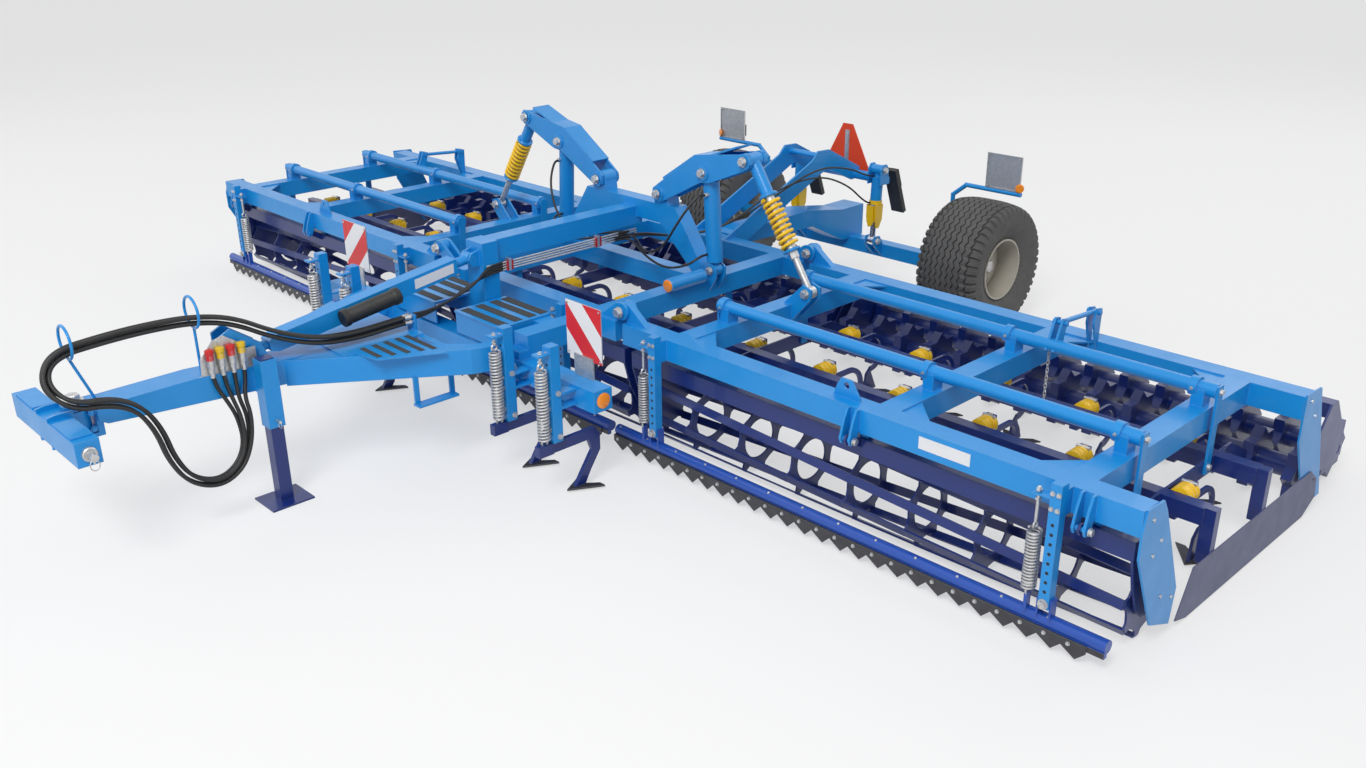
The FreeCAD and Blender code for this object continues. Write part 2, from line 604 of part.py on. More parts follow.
def tine_springs(name, first_row, second_row):
    """Pairs of short coils behind the tine beams, drawn as waisted drums."""
    y = "tine_row + tine_beam + running_gap"
    z = "tine_bow_z + tine_bow + shank/2 + yellow_round + running_gap"
    drum = fuse(name + "_drum", [
        rod(name + "_front", (0, y, z), "y", "yellow_round", "yellow_long/2 - 6"),
        rod(name + "_waist", (0, y, z), "y", "yellow_round*0.7", "yellow_long"),
        rod(name + "_rear", (0, "(%s) + yellow_long/2 + 6" % y, z), "y", "yellow_round", "yellow_long/2 - 6")])
    step = value("tine_row_step")
    shift = [(x, 0, 0) for x in first_row] + [(x, step, 0) for x in second_row]
    return finish(name, [copies(name + "_set", drum, shift)])


# ---------------------------------------------------------------- wing
def wing_frame():
    name = "wing_left_frame"
    inner = "hinge_x + hinge_gap"
    long = "half_width + 40 - (%s)" % inner
    parts = [box(name + "_front", (inner, "front_beam_y", "beam_low"), (long, "beam", "beam")),
             box(name + "_rear", (inner, "rear_beam_y", "beam_low"), (long, "beam", "beam"))]
    for label, x in (("inner", "inner_long_x"), ("middle", "middle_long_x"), ("outer", "outer_long_x")):
        parts.append(box("%s_%s" % (name, label), ("%s - beam/2" % x, "front_beam_y + beam/2", "beam_low"),
                         ("beam", "rear_beam_y - front_beam_y", "beam")))
        for end, y in (("front", "front_shaft_y"), ("rear", "rear_shaft_y")):
            parts.append(box("%s_%s_%s_block" % (name, label, end), ("%s - 30" % x, "%s - 40" % y, BEAM_TOP),
                             (60, 80, "shaft_z - beam_low - beam")))
    outer = "half_width + 40"
    parts.append(plate(name + "_front_plate", "yz", outer, "end_plate", [
        (245, 735), (109, 740), (83, 645), (85, 524), (287, 130), (479, 51), (500, 223), (285, 676)]))
    parts.append(plate(name + "_rear_plate", "yz", outer, "end_plate", [
        (1680, 750), (1863, 738), (2150, 60), (1930, 60), (1690, 500)]))
    for end, y in (("front", "front_shaft_y"), ("rear", "rear_shaft_y")):
        parts.append(rod("%s_%s_shaft" % (name, end), ("inner_link_x + link_thick + running_gap", y, "shaft_z"),
                         "x", "shaft_round", "outer_link_x - inner_link_x"))
        low = "tine_beam_low + 20"
        for side, x in (("inner", "inner_link_x"), ("outer", "outer_link_x")):
            parts.append(box("%s_%s_%s_link" % (name, end, side),
                             ("%s + link_thick + running_gap" % x, "%s - link/2" % y, low),
                             ("link_thick", "link", "shaft_z + 30 - (%s)" % low)))
    bores = []
    for index, y in enumerate(("front_beam_y + 40", "rear_beam_y + 40")):
        parts.append(plate("%s_ear_%d" % (name, index), "xz", y, "ear*2", [
            (inner, BEAM_TOP), ("(%s) + 150" % inner, BEAM_TOP), ("hinge_x + 40", "hinge_z + ear_round - 8"),
            ("hinge_x", "hinge_z + ear_round"), ("hinge_x", "hinge_z")]))
        parts.append(rod("%s_knuckle_%d" % (name, index), ("hinge_x", y, "hinge_z"), "y", "ear_round", "ear*2"))
        bores.append(rod("%s_bore_%d" % (name, index), ("hinge_x", "(%s) - 1" % y, "hinge_z"), "y",
                         "fold_pin + bearing_gap", "ear*2 + 2"))
    for side, y in (("a", "fold_y - eye_width/2 - 8 - rocker_plate"), ("b", "fold_y + eye_width/2 + 8")):
        parts.append(plate("%s_strut_ear_%s" % (name, side), "xz", y, "rocker_plate", [
            ("inner_long_x + beam/2 - 60", BEAM_TOP), ("inner_long_x + beam/2", "beam_low + 20"),
            ("strut_foot_x + 40", "strut_foot_z - 30"), ("strut_foot_x + 45", "strut_foot_z + 30"),
            ("strut_foot_x - 20", "strut_foot_z + 50"), ("strut_foot_x - 60", "strut_foot_z + 10")]))
    for index, x in enumerate(("inner_ear_x", "outer_ear_x")):
        parts.append(box("%s_hanger_%d" % (name, index), ("%s - 25" % x, "roller_beam_y + 20",
                         "roller_beam_low + roller_beam_high + running_gap"),
                         (50, 40, "beam_low - roller_beam_low - roller_beam_high + 10")))
        for side, at in (("a", "%s - link/2 - 7" % x), ("b", "%s + link/2 - 5" % x)):
            parts.append(plate("%s_ear_%d%s" % (name, index, side), "yz", at, "link_thick", [
                ("front_beam_y + 3", BEAM_TOP), ("front_beam_y - 25", BEAM_TOP), ("ear_bolt_y - 5", "beam_low + 60"),
                ("ear_bolt_y - 27", "ear_bolt_z + 5"), ("ear_bolt_y - 15", "ear_bolt_z - 22"),
                ("ear_bolt_y + 15", "ear_bolt_z - 22"), ("ear_bolt_y + 27", "ear_bolt_z"), ("front_beam_y + 3", "beam_low + 30")]))
        parts.append(rod("%s_ear_bolt_%d" % (name, index), ("%s - link/2 - 14" % x, "ear_bolt_y", "ear_bolt_z"), "x",
                         "eye_bolt", "link + 28"))
    lug = plate(name + "_lug_blank", "xz", "front_beam_y + beam/2", "rocker_plate", [
        ("lug_x - 82", BEAM_TOP + " - 5"), ("lug_x + 82", BEAM_TOP + " - 5"), ("lug_x + 70", BEAM_TOP + " + 25"),
        ("lug_x + 22", BEAM_TOP + " + 95"), ("lug_x - 38", BEAM_TOP + " + 95"), ("lug_x - 60", BEAM_TOP + " + 60")])
    parts.append(cut(name + "_lug", lug, rod(name + "_lug_hole", ("lug_x - 5", "front_beam_y", BEAM_TOP + " + 62"), "y", 17, "beam")))
    for label, x, side in (("inner", "inner_long_x", 1), ("middle", "middle_long_x", 1), ("outer", "outer_long_x", -1)):
        edge = "%s + %d*beam/2" % (x, side)
        for end, y, way in (("front", "front_beam_y + beam", 1), ("rear", "rear_beam_y", -1)):
            parts.append(plate("%s_%s_%s_gusset" % (name, label, end), "xy", BEAM_TOP + " - 18", 10, [
                ("%s - %d*5" % (edge, side), "%s - %d*5" % (y, way)), ("%s + %d*gusset" % (edge, side), "%s - %d*5" % (y, way)),
                ("%s - %d*5" % (edge, side), "%s + %d*gusset" % (y, way))]))
        for end, y in (("front", "front_shaft_y"), ("rear", "rear_shaft_y")):
            parts.append(rod("%s_%s_%s_collar" % (name, label, end), ("%s - 50" % x, y, "shaft_z"), "x",
                             "shaft_round + collar", 40))
    for side, at in (("a", "spindle_x - 26"), ("b", "spindle_x + 14")):
        parts.append(plate("%s_crank_%s" % (name, side), "yz", at, "link_thick", [
            ("rear_shaft_y - 40", "shaft_z - 20"), ("rear_shaft_y + 40", "shaft_z - 20"), ("rear_shaft_y + 75", "shaft_z + 130"),
            ("rear_shaft_y + 30", "shaft_z + 140")]))
        parts.append(plate("%s_anchor_%s" % (name, side), "yz", at, "link_thick", [
            ("rear_beam_y + 5", "beam_low + 40"), ("rear_beam_y + 5", BEAM_TOP), ("rear_beam_y + 10", "shaft_z + 100"),
            ("rear_beam_y - 45", "shaft_z + 110"), ("rear_beam_y - 60", "shaft_z + 30")]))
    parts.append(between(name + "_spindle", ("spindle_x", "rear_shaft_y + 45", "shaft_z + 112"),
                         ("spindle_x", "rear_beam_y - 20", "shaft_z + 85"), 13))
    for index, (y, z) in enumerate((("rear_shaft_y + 50", "shaft_z + 112"), ("rear_beam_y - 25", "shaft_z + 85"))):
        parts.append(rod("%s_spindle_pin_%d" % (name, index), ("spindle_x - 40", y, z), "x", "eye_bolt", 80))
    parts += level_posts("wing_left_post", ("inner_post_x", "outer_post_x"))
    return finish(name, [cut(name + "_bored", fuse(name + "_solid", parts), fuse(name + "_bores", bores))])


# ---------------------------------------------------------------- middle
def centre_frame():
    name = "centre_frame"
    half = "hinge_x - hinge_gap"
    parts = [box(name + "_front", ("-(%s)" % half, "front_beam_y", "beam_low"), ("(%s)*2" % half, "beam", "beam")),
             box(name + "_rear", ("-(%s)" % half, "rear_beam_y", "beam_low"), ("(%s)*2" % half, "beam", "beam")),
             box(name + "_cross", ("-centre_long_x", "fold_y - beam/2", "beam_low"),
                 ("centre_long_x*2", "beam", "beam")),
             box(name + "_top", ("-beam/2", -180, 970), ("beam", "fold_y + 180", "beam")),
             box(name + "_tie", ("-pivot_x - 40", "fold_y - 50", 1020), ("pivot_x*2 + 80", 100, "beam")),
             box(name + "_loosener", (-1330, "loosener_beam_y", "loosener_beam_low"), (2660, "beam", "beam")),
             box(name + "_front_post", (-80, -220, "beam_low"), (160, 110, 470))]
    parts += both_sides([
        box(name + "_long", ("centre_long_x - beam/2", "loosener_beam_y + beam/2", "beam_low"),
            ("beam", "rear_beam_y - loosener_beam_y", "beam")),
        box(name + "_sill", (60, -220, "beam_low"), ("centre_long_x - 60", 110, "beam")),
        box(name + "_drop", ("centre_long_x - beam/2", "loosener_beam_y", "loosener_beam_low + beam - 10"),
            ("beam", "beam", 60))])
    ear = plate(name + "_link_ear", "yz", "30 + running_gap", 16, [
        (-215, 950), ("link_top_y - 10", 955), ("link_top_y - 35", "link_top_z"), ("link_top_y - 10", "link_top_z + 36"),
        (-215, 1050)])
    sides = [cut(name + "_link_lug", ear, rod(name + "_link_bore", (20, "link_top_y", "link_top_z"), "x",
                                              "foot_pin + bearing_gap", 40))]
    for index, y in enumerate(("front_beam_y + 40", "rear_beam_y + 40")):
        for side, at in (("a", "(%s) - ear - 1" % y), ("b", "(%s) + ear*2 + 1" % y)):
            sides.append(plate("%s_ear_%d%s" % (name, index, side), "xz", at, "ear", [
                (half, BEAM_TOP), ("(%s) - 150" % half, BEAM_TOP), ("hinge_x - 40", "hinge_z + ear_round - 8"),
                ("hinge_x", "hinge_z + ear_round"), ("hinge_x", "hinge_z")]))
            sides.append(rod("%s_knuckle_%d%s" % (name, index, side), ("hinge_x", at, "hinge_z"), "y",
                             "ear_round", "ear"))
        sides.append(rod("%s_pin_%d" % (name, index), ("hinge_x", "(%s) - ear - 16" % y, "hinge_z"), "y",
                         "fold_pin", "ear*4 + 32"))
    for side, x in (("a", "draw_leg_x - 45 - 2 - 20"), ("b", "draw_leg_x + 45 + 2")):
        sides.append(plate("%s_draw_ear_%s" % (name, side), "yz", x, 20, [
            ("loosener_beam_y + 5", "loosener_beam_low + beam"), ("loosener_beam_y + 5", "loosener_beam_low"),
            ("draw_hinge_y - 25", "draw_hinge_z - 45"), ("draw_hinge_y - 50", "draw_hinge_z - 10"),
            ("draw_hinge_y - 45", "draw_hinge_z + 30"), ("draw_hinge_y", "draw_hinge_z + 48")]))
    sides.append(rod(name + "_draw_pin", ("draw_leg_x - 80", "draw_hinge_y", "draw_hinge_z"), "x", "fold_pin", 160))
    sides.append(plate(name + "_leg", "xz", "fold_y - 50", 100, [
        (590, BEAM_TOP), (700, BEAM_TOP), ("pivot_x + 130", 1140), ("pivot_x - 60", 1140), ("pivot_x - 10", 1020)]))
    sides.append(plate(name + "_pivot", "xz", "fold_y - 50", 100, [
        ("pivot_x - 60", 1130), ("pivot_x + 70", 1130), ("pivot_x + 50", "pivot_z"), ("pivot_x - 50", "pivot_z")]))
    sides.append(rod(name + "_pivot_boss", ("pivot_x", "fold_y - 50", "pivot_z"), "y", 52, 100))
    sides.append(rod(name + "_pivot_pin", ("pivot_x", "fold_y - rocker_width/2 - 14", "pivot_z"), "y", "fold_pin",
                     "rocker_width + 28"))
    for side, y in (("a", "fold_y - eye_width/2 - 8 - rocker_plate"), ("b", "fold_y + eye_width/2 + 8")):
        ear = plate("%s_cylinder_ear_%s" % (name, side), "xz", y, "rocker_plate", [
            (640, "beam_low + 30"), (700, "beam_low + 30"), ("cylinder_foot_x + 48", "cylinder_foot_z - 40"),
            ("cylinder_foot_x + 48", "cylinder_foot_z + 20"), ("cylinder_foot_x", "cylinder_foot_z + 48"),
            ("cylinder_foot_x - 48", "cylinder_foot_z + 10"), (640, BEAM_TOP)])
        bore = rod("%s_cylinder_bore_%s" % (name, side), ("cylinder_foot_x", "(%s) - 1" % y, "cylinder_foot_z"), "y",
                   "foot_pin + bearing_gap", "rocker_plate + 2")
        sides.append(cut("%s_cylinder_lug_%s" % (name, side), ear, bore))
    sides.append(plate(name + "_swing_ear", "yz", "swing_half + 2", 15, [
        ("rear_beam_y + beam - 5", BEAM_TOP), ("rear_beam_y + beam - 5", "beam_low"),
        ("swing_y + 30", "swing_z - 60"), ("swing_y + 60", "swing_z - 20"), ("swing_y + 60", "swing_z + 30"),
        ("swing_y + 20", "swing_z + 60")]))
    sides.append(plate(name + "_mast", "yz", 150, 15, [
        ("rear_beam_y + 10", BEAM_TOP), (2600, 1140), (2660, 1200), (2780, 1195), (3140, 1015), (3140, 935),
        (3050, 930), (2760, 1060), ("rear_beam_y + beam", "beam_low + 20"), ("rear_beam_y + beam - 20", BEAM_TOP)]))
    for side, x in (("a", "lift_x - 48 - 12"), ("b", "lift_x + 48")):
        sides.append(plate("%s_lift_ear_%s" % (name, side), "yz", x, 12, [
            (3050, "lift_ear_low"), (3150, "lift_ear_low"), ("lift_top_y + 45", "lift_top_z + 10"), ("lift_top_y + 20", "lift_top_z + 42"),
            ("lift_top_y - 20", "lift_top_z + 42"), ("lift_top_y - 45", "lift_top_z + 10")]))
    sides.append(box(name + "_lift_seat", ("lift_x - 60", 3148, "lift_ear_low"), (120, 12, 50)))
    parts += both_sides(sides)
    parts.append(rod(name + "_yoke", ("-lift_x + 52", 3100, 965), "x", 35, "lift_x*2 - 104"))
    for index, y in enumerate(("front_shaft_y", "rear_shaft_y")):
        parts += both_sides([box("%s_tine_hanger_%d" % (name, index), ("620 + running_gap", "%s - link/2" % y,
                                 "tine_beam_low + 20"), ("link_thick", "link", "beam_low - tine_beam_low - 15"))])
    parts.append(rod(name + "_mast_tie", (-160, 2720, 1150), "x", 22, 320))
    parts.append(rod(name + "_swing_pin", ("-swing_half - 30", "swing_y", "swing_z"), "x", "fold_pin", "swing_half*2 + 60"))
    parts += level_posts("centre_post", ("-centre_post_x", "centre_post_x"))
    parts.append(box(name + "_hanger", (-25, "roller_beam_y - 10", "roller_beam_low + roller_beam_high + running_gap"),
                     (50, 60, "beam_low - roller_beam_low - roller_beam_high + 10")))
    return finish(name, parts)


# ---------------------------------------------------------------- fold gear, left side
def rocker():
    """Bent rocker: two plates with a closing web along the upper edge."""
    name = "rocker_left"
    outline = [("pivot_x - 45", "pivot_z - 30"), ("pivot_x + 30", "pivot_z - 45"),
               ("rocker_pin_x - 20", "rocker_pin_z - 60"), ("rocker_pin_x + 60", "rocker_pin_z - 50"),
               ("strut_top_x + 10", "strut_top_z - 50"), ("strut_top_x + 50", "strut_top_z - 10"),
               ("strut_top_x + 30", "strut_top_z + 45"), ("rocker_pin_x + 60", "rocker_pin_z + 120"),
               ("rocker_pin_x - 70", "rocker_pin_z + 100"), ("pivot_x - 50", "pivot_z + 30")]
    web = [("strut_top_x - 75", "strut_top_z + 75"), ("rocker_pin_x + 60", "rocker_pin_z + 120"),
           ("rocker_pin_x - 70", "rocker_pin_z + 100"), ("pivot_x + 40", "pivot_z + 110"),
           ("pivot_x + 50", "pivot_z + 98"), ("rocker_pin_x - 65", "rocker_pin_z + 88"),
           ("rocker_pin_x + 60", "rocker_pin_z + 108"), ("strut_top_x - 75", "strut_top_z + 63")]
    parts = [plate(name + "_a", "xz", "fold_y - rocker_width/2", "rocker_plate", outline),
             plate(name + "_b", "xz", "fold_y + rocker_width/2 - rocker_plate", "rocker_plate", outline),
             plate(name + "_web", "xz", "fold_y - rocker_width/2 + 2", "rocker_width - 4", web)]
    bores = []
    inner = "rocker_width/2 - 50 - running_gap + 8"
    for index, (x, z, radius) in enumerate((("pivot_x", "pivot_z", "fold_pin"), ("strut_top_x", "strut_top_z", "foot_pin"))):
        for side, y in (("a", "fold_y - rocker_width/2 - 8"), ("b", "fold_y + 50 + running_gap")):
            parts.append(rod("%s_boss_%d%s" % (name, index, side), (x, y, z), "y", 46, inner))
        bores.append(rod("%s_bore_%d" % (name, index), (x, "fold_y - rocker_width", z), "y",
                         "%s + bearing_gap" % radius, "rocker_width*2"))
    for side, y in (("a", "fold_y - rocker_width/2 - 8"), ("b", "fold_y + eye_width/2 + running_gap*2")):
        parts.append(rod("%s_pin_boss_%s" % (name, side), ("rocker_pin_x", y, "rocker_pin_z"), "y", 46,
                         "rocker_width/2 + 8 - eye_width/2 - running_gap*2"))
    return finish(name, [cut(name + "_bored", fuse(name + "_solid", parts), fuse(name + "_bores", bores))])


def toward(start, end, reach):
    """Point on the line between two points of the fold plane, at a distance from the first."""
    (x0, z0), (x1, z1) = start, end
    run = "sqrt(((%s) - (%s))^2 + ((%s) - (%s))^2)" % (x1, x0, z1, z0)
    return ("(%s) + ((%s) - (%s))*(%s)/(%s)" % (x0, x1, x0, reach, run),
            "(%s) + ((%s) - (%s))*(%s)/(%s)" % (z0, z1, z0, reach, run))


def strut():
    """Spring strut from the rocker to the wing: sleeve, spring and rod with its eye."""
    name = "strut_left"
    top, foot = ("strut_top_x", "strut_top_z"), ("strut_foot_x", "strut_foot_z")
    def stage(label, low, high, radius):
        (x0, z0), (x1, z1) = toward(top, foot, low), toward(top, foot, high)
        return between("%s_%s" % (name, label), (x0, "fold_y", z0), (x1, "fold_y", z1), radius)
    full = math.hypot(value("strut_foot_x - strut_top_x"), value("strut_top_z - strut_foot_z"))
    parts = [rod(name + "_top_eye", ("strut_top_x", "fold_y - 50", "strut_top_z"), "y", 42, 100),
             rod(name + "_top_pin", ("strut_top_x", "fold_y - rocker_width/2 - 14", "strut_top_z"), "y", "foot_pin",
                 "rocker_width + 28"),
             stage("sleeve", 0, 230, 38), stage("collar", 215, 235, 52), stage("spring", 235, 560, 50),
             stage("seat", 560, 580, 52), stage("rod", 580, full, 20),
             rod(name + "_foot_eye", ("strut_foot_x", "fold_y - eye_width/2", "strut_foot_z"), "y", 36, "eye_width")]
    return finish(name, parts)


def fold_cylinder():
    """Barrel with its foot eye, and rod with its head eye."""
    foot, head = ("cylinder_foot_x", "cylinder_foot_z"), ("rocker_pin_x", "rocker_pin_z")
    run = "sqrt((rocker_pin_x - cylinder_foot_x)^2 + (rocker_pin_z - cylinder_foot_z)^2)"
    (x0, z0), (x1, z1) = toward(foot, head, 50), toward(foot, head, "%s - 56" % run)
    (x2, z2) = toward(foot, head, 100)
    name = "fold_barrel_left"
    solid = fuse(name + "_solid", [
        rod(name + "_eye", ("cylinder_foot_x", "fold_y - eye_width/2", "cylinder_foot_z"), "y", 40, "eye_width"),
        rod(name + "_pin", ("cylinder_foot_x", "fold_y - 50", "cylinder_foot_z"), "y", "foot_pin", 100),
        between(name + "_tube", (x0, "fold_y", z0), (x1, "fold_y", z1), "barrel_round"),
        between(name + "_neck", ("cylinder_foot_x", "fold_y", "cylinder_foot_z"), (x0, "fold_y", z0), 24)])
    (x3, z3) = toward(foot, head, "%s - 40" % run)
    bore = between(name + "_bore", (x2, "fold_y", z2), (x3, "fold_y", z3), "rod_round + running_gap")
    barrel = finish(name, [cut(name + "_shell", solid, bore)])
    name = "fold_rod_left"
    (x4, z4) = toward(foot, head, 102)
    rod_part = finish(name, [
        between(name + "_bar", (x4, "fold_y", z4), ("rocker_pin_x", "fold_y", "rocker_pin_z"), "rod_round"),
        rod(name + "_eye", ("rocker_pin_x", "fold_y - eye_width/2", "rocker_pin_z"), "y", "eye_round", "eye_width")])
    return barrel, rod_part


# ---------------------------------------------------------------- transport axle
def axle_frame():
    name = "axle_frame"
    parts = [box(name + "_cross", (-900, 3140, 365), (1800, 100, 100)),
             plate(name + "_beam", "yz", "-swing_half", "swing_half*2", [
                 ("swing_y - 45", "swing_z - 30"), ("swing_y - 45", "swing_z + 30"), ("swing_y", "swing_z + 48"),
                 (2650, 755), (3050, 690), (3300, 690), (3300, 450), (3060, 450), (2700, 625),
                 ("swing_y", "swing_z - 48")])]
    bore = rod(name + "_swing_bore", ("-swing_half - 1", "swing_y", "swing_z"), "x", "fold_pin + bearing_gap",
               "swing_half*2 + 2")
    parts[1] = cut(name + "_bored_beam", parts[1], bore)
    sides = [plate(name + "_hub_plate", "yz", 880, 25, [
                 (3110, 375), (3150, 350), ("wheel_y + 80", "wheel_round - 80"), ("wheel_y + 110", "wheel_round + 90"),
                 ("wheel_y - 40", "wheel_round + 90"), (3110, 500)]),
             rod(name + "_stub", (890, "wheel_y", "wheel_round"), "x", "hub_round", 260)]
    for side, x in (("a", "lift_x - eye_width/2 - 8 - 12"), ("b", "lift_x + eye_width/2 + 8")):
        sides.append(plate("%s_ear_%s" % (name, side), "yz", x, 12, [
            (3145, 370), (3145, 465), ("lift_foot_y + 30", "lift_foot_z + 35"), ("lift_foot_y - 25", "lift_foot_z + 38"),
            ("lift_foot_y - 45", "lift_foot_z - 10"), ("lift_foot_y - 20", "lift_foot_z - 45")]))
    lamp = [between(name + "_stay_a", (895, 3300, 520), (895, 3300, 910), 16),
            between(name + "_stay_b", (895, 3300, 900), (1000, 3300, 985), 16),
            rod(name + "_stay_c", (990, 3300, 985), "x", 16, 450)]
    parts += both_sides(sides + lamp)
    return finish(name, parts)


def wheel(side):
    """Tyre and rim turned about the axle, left side."""
    x, y, z = "wheel_x", "wheel_y", "wheel_round"
    def turned(name, corners):
        body = doc.addObject("PartDesign::Body", name)
        origin = next(item for item in body.Origin.OriginFeatures if item.Role == "XY_Plane")
        sketch = body.newObject("Sketcher::SketchObject", name + "_profile")
        sketch.AttachmentSupport = (origin, [""])
        sketch.MapMode = "FlatFace"
        points = [Vector(value(u), value(v), 0) for u, v in corners]
        count = len(points)
        for index in range(count):
            sketch.addGeometry(Part.LineSegment(points[index], points[(index + 1) % count]))
        for index in range(count):
            sketch.addConstraint(Sketcher.Constraint("Coincident", index, 2, (index + 1) % count, 1))
        for index, corner in enumerate(corners):
            for kind, text, number in zip(("DistanceX", "DistanceY"), corner, points[index]):
                held = sketch.addConstraint(Sketcher.Constraint(kind, index, 1, number))
                sketch.setExpression("Constraints[%d]" % held, formula(text))
        turn = body.newObject("PartDesign::Revolution", name + "_turn")
        turn.Profile = sketch
        turn.ReferenceAxis = (sketch, ["H_Axis"])
        turn.Angle = 360
        body.Tip = turn
        return place(body, (x, y, z))
    tyre = turned("tyre_%s_body" % side, [
        ("-tyre_width/2 + 45", "rim_round + running_gap"), ("-tyre_width/2", "rim_round + 60"),
        ("-tyre_width/2", "wheel_round - 90"), ("-tyre_width/2 + 30", "wheel_round - 25"),
        ("-tyre_width/2 + 110", "wheel_round"), ("tyre_width/2 - 110", "wheel_round"),
        ("tyre_width/2 - 30", "wheel_round - 25"), ("tyre_width/2", "wheel_round - 90"),
        ("tyre_width/2", "rim_round + 60"), ("tyre_width/2 - 45", "rim_round + running_gap")])
    rim = turned("rim_%s_body" % side, [
        ("-rim_width/2", "rim_round - 12"), ("-rim_width/2", "rim_round"), ("rim_width/2", "rim_round"),
        ("rim_width/2", "rim_round - 12"), (20, "rim_round - 12"), (50, 100), (50, 60), (-110, 60),
        (-110, "hub_round + bearing_gap"), (-45, "hub_round + bearing_gap"), (-45, 0.0), (65, 0.0), (65, 55),
        (70, 100), (32, "rim_round - 14"), (-10, "rim_round - 14")])
    return finish("tyre_" + side, [tyre]), finish("rim_" + side, [rim])


def lift_gear():
    """Lift cylinders of the axle: both barrels share a node, and so do both rods."""
    y0, z0, y1, z1 = "lift_top_y", "lift_top_z", "lift_foot_y", "lift_foot_z"
    def along(reach):
        run = "sqrt((lift_foot_y - lift_top_y)^2 + (lift_foot_z - lift_top_z)^2)"
        return ("%s + (%s - %s)*(%s)/%s" % (y0, y1, y0, reach, run), "%s + (%s - %s)*(%s)/%s" % (z0, z1, z0, reach, run))
    def piece(name, low, high, radius):
        (ya, za), (yb, zb) = along(low), along(high)
        return between(name, ("lift_x", ya, za), ("lift_x", yb, zb), radius)
    run = math.hypot(value("lift_foot_y - lift_top_y"), value("lift_foot_z - lift_top_z"))
    name = "lift_barrels"
    solid = fuse(name + "_solid", [rod(name + "_eye", ("lift_x - 47.7", y0, z0), "x", 36, 95.4),
                                   piece(name + "_neck", 0, 60, 24),
                                   piece(name + "_tube", 50, "lift_barrel_long", "lift_barrel_round")])
    barrel = cut(name + "_shell", solid, piece(name + "_bore", 66, "lift_barrel_long + 10", 22.3))
    lock = plate(name + "_lock", "xz", "lift_foot_y - 45", 18, [
        ("lift_x - 26", 770), ("lift_x - 30", 650), ("lift_x - 12", 617), ("lift_x + 12", 617), ("lift_x + 30", 650),
        ("lift_x + 26", 770)])
    barrels = finish(name, both_sides([fuse(name + "_locked", [barrel, lock])]))
    name = "lift_rods"
    bar = fuse(name + "_rod", [piece(name + "_bar", "lift_rod_start", run, 22),
                                             rod(name + "_eye", ("lift_x - eye_width/2", y1, z1), "x", 34, "eye_width")])
    rods = finish(name, both_sides([bar]))
    return barrels, rods


def rear_lights():
    """Boards and lamps on the axle's lamp stays."""
    name = "rear_lights"
    parts = both_sides([box(name + "_board", (1160, 3296, "985 + 16 + running_gap"), (270, 8, 240)),
                        box(name + "_lamp", (1190, 3304, 1030), (200, 45, 90))])
    return finish(name, [fuse(name + "_all", parts)])


# ---------------------------------------------------------------- drawbar end
def hitch_fork():
    """Fork on the nose that holds the hitch swivel."""
    name = "hitch_fork"
    parts = [box(name + "_block", (-60, "nose_y - 3", "hitch_z - 85"), (120, 30, 170)),
             plate(name + "_low", "xy", "hitch_z - 85", 20, [
                 (-60, "nose_y + 20"), (-60, "yaw_y - 20"), (-30, "yaw_y - 55"), (30, "yaw_y - 55"),
                 (60, "yaw_y - 20"), (60, "nose_y + 20")]),
             plate(name + "_high", "xy", "hitch_z + 65", 20, [
                 (-60, "nose_y + 20"), (-60, "yaw_y - 20"), (-30, "yaw_y - 55"), (30, "yaw_y - 55"),
                 (60, "yaw_y - 20"), (60, "nose_y + 20")])]
    bore = rod(name + "_bore", (0, "yaw_y", "hitch_z - 100"), "z", "25 + bearing_gap", 200)
    return cut(name + "_bored", fuse(name + "_solid", parts), bore)


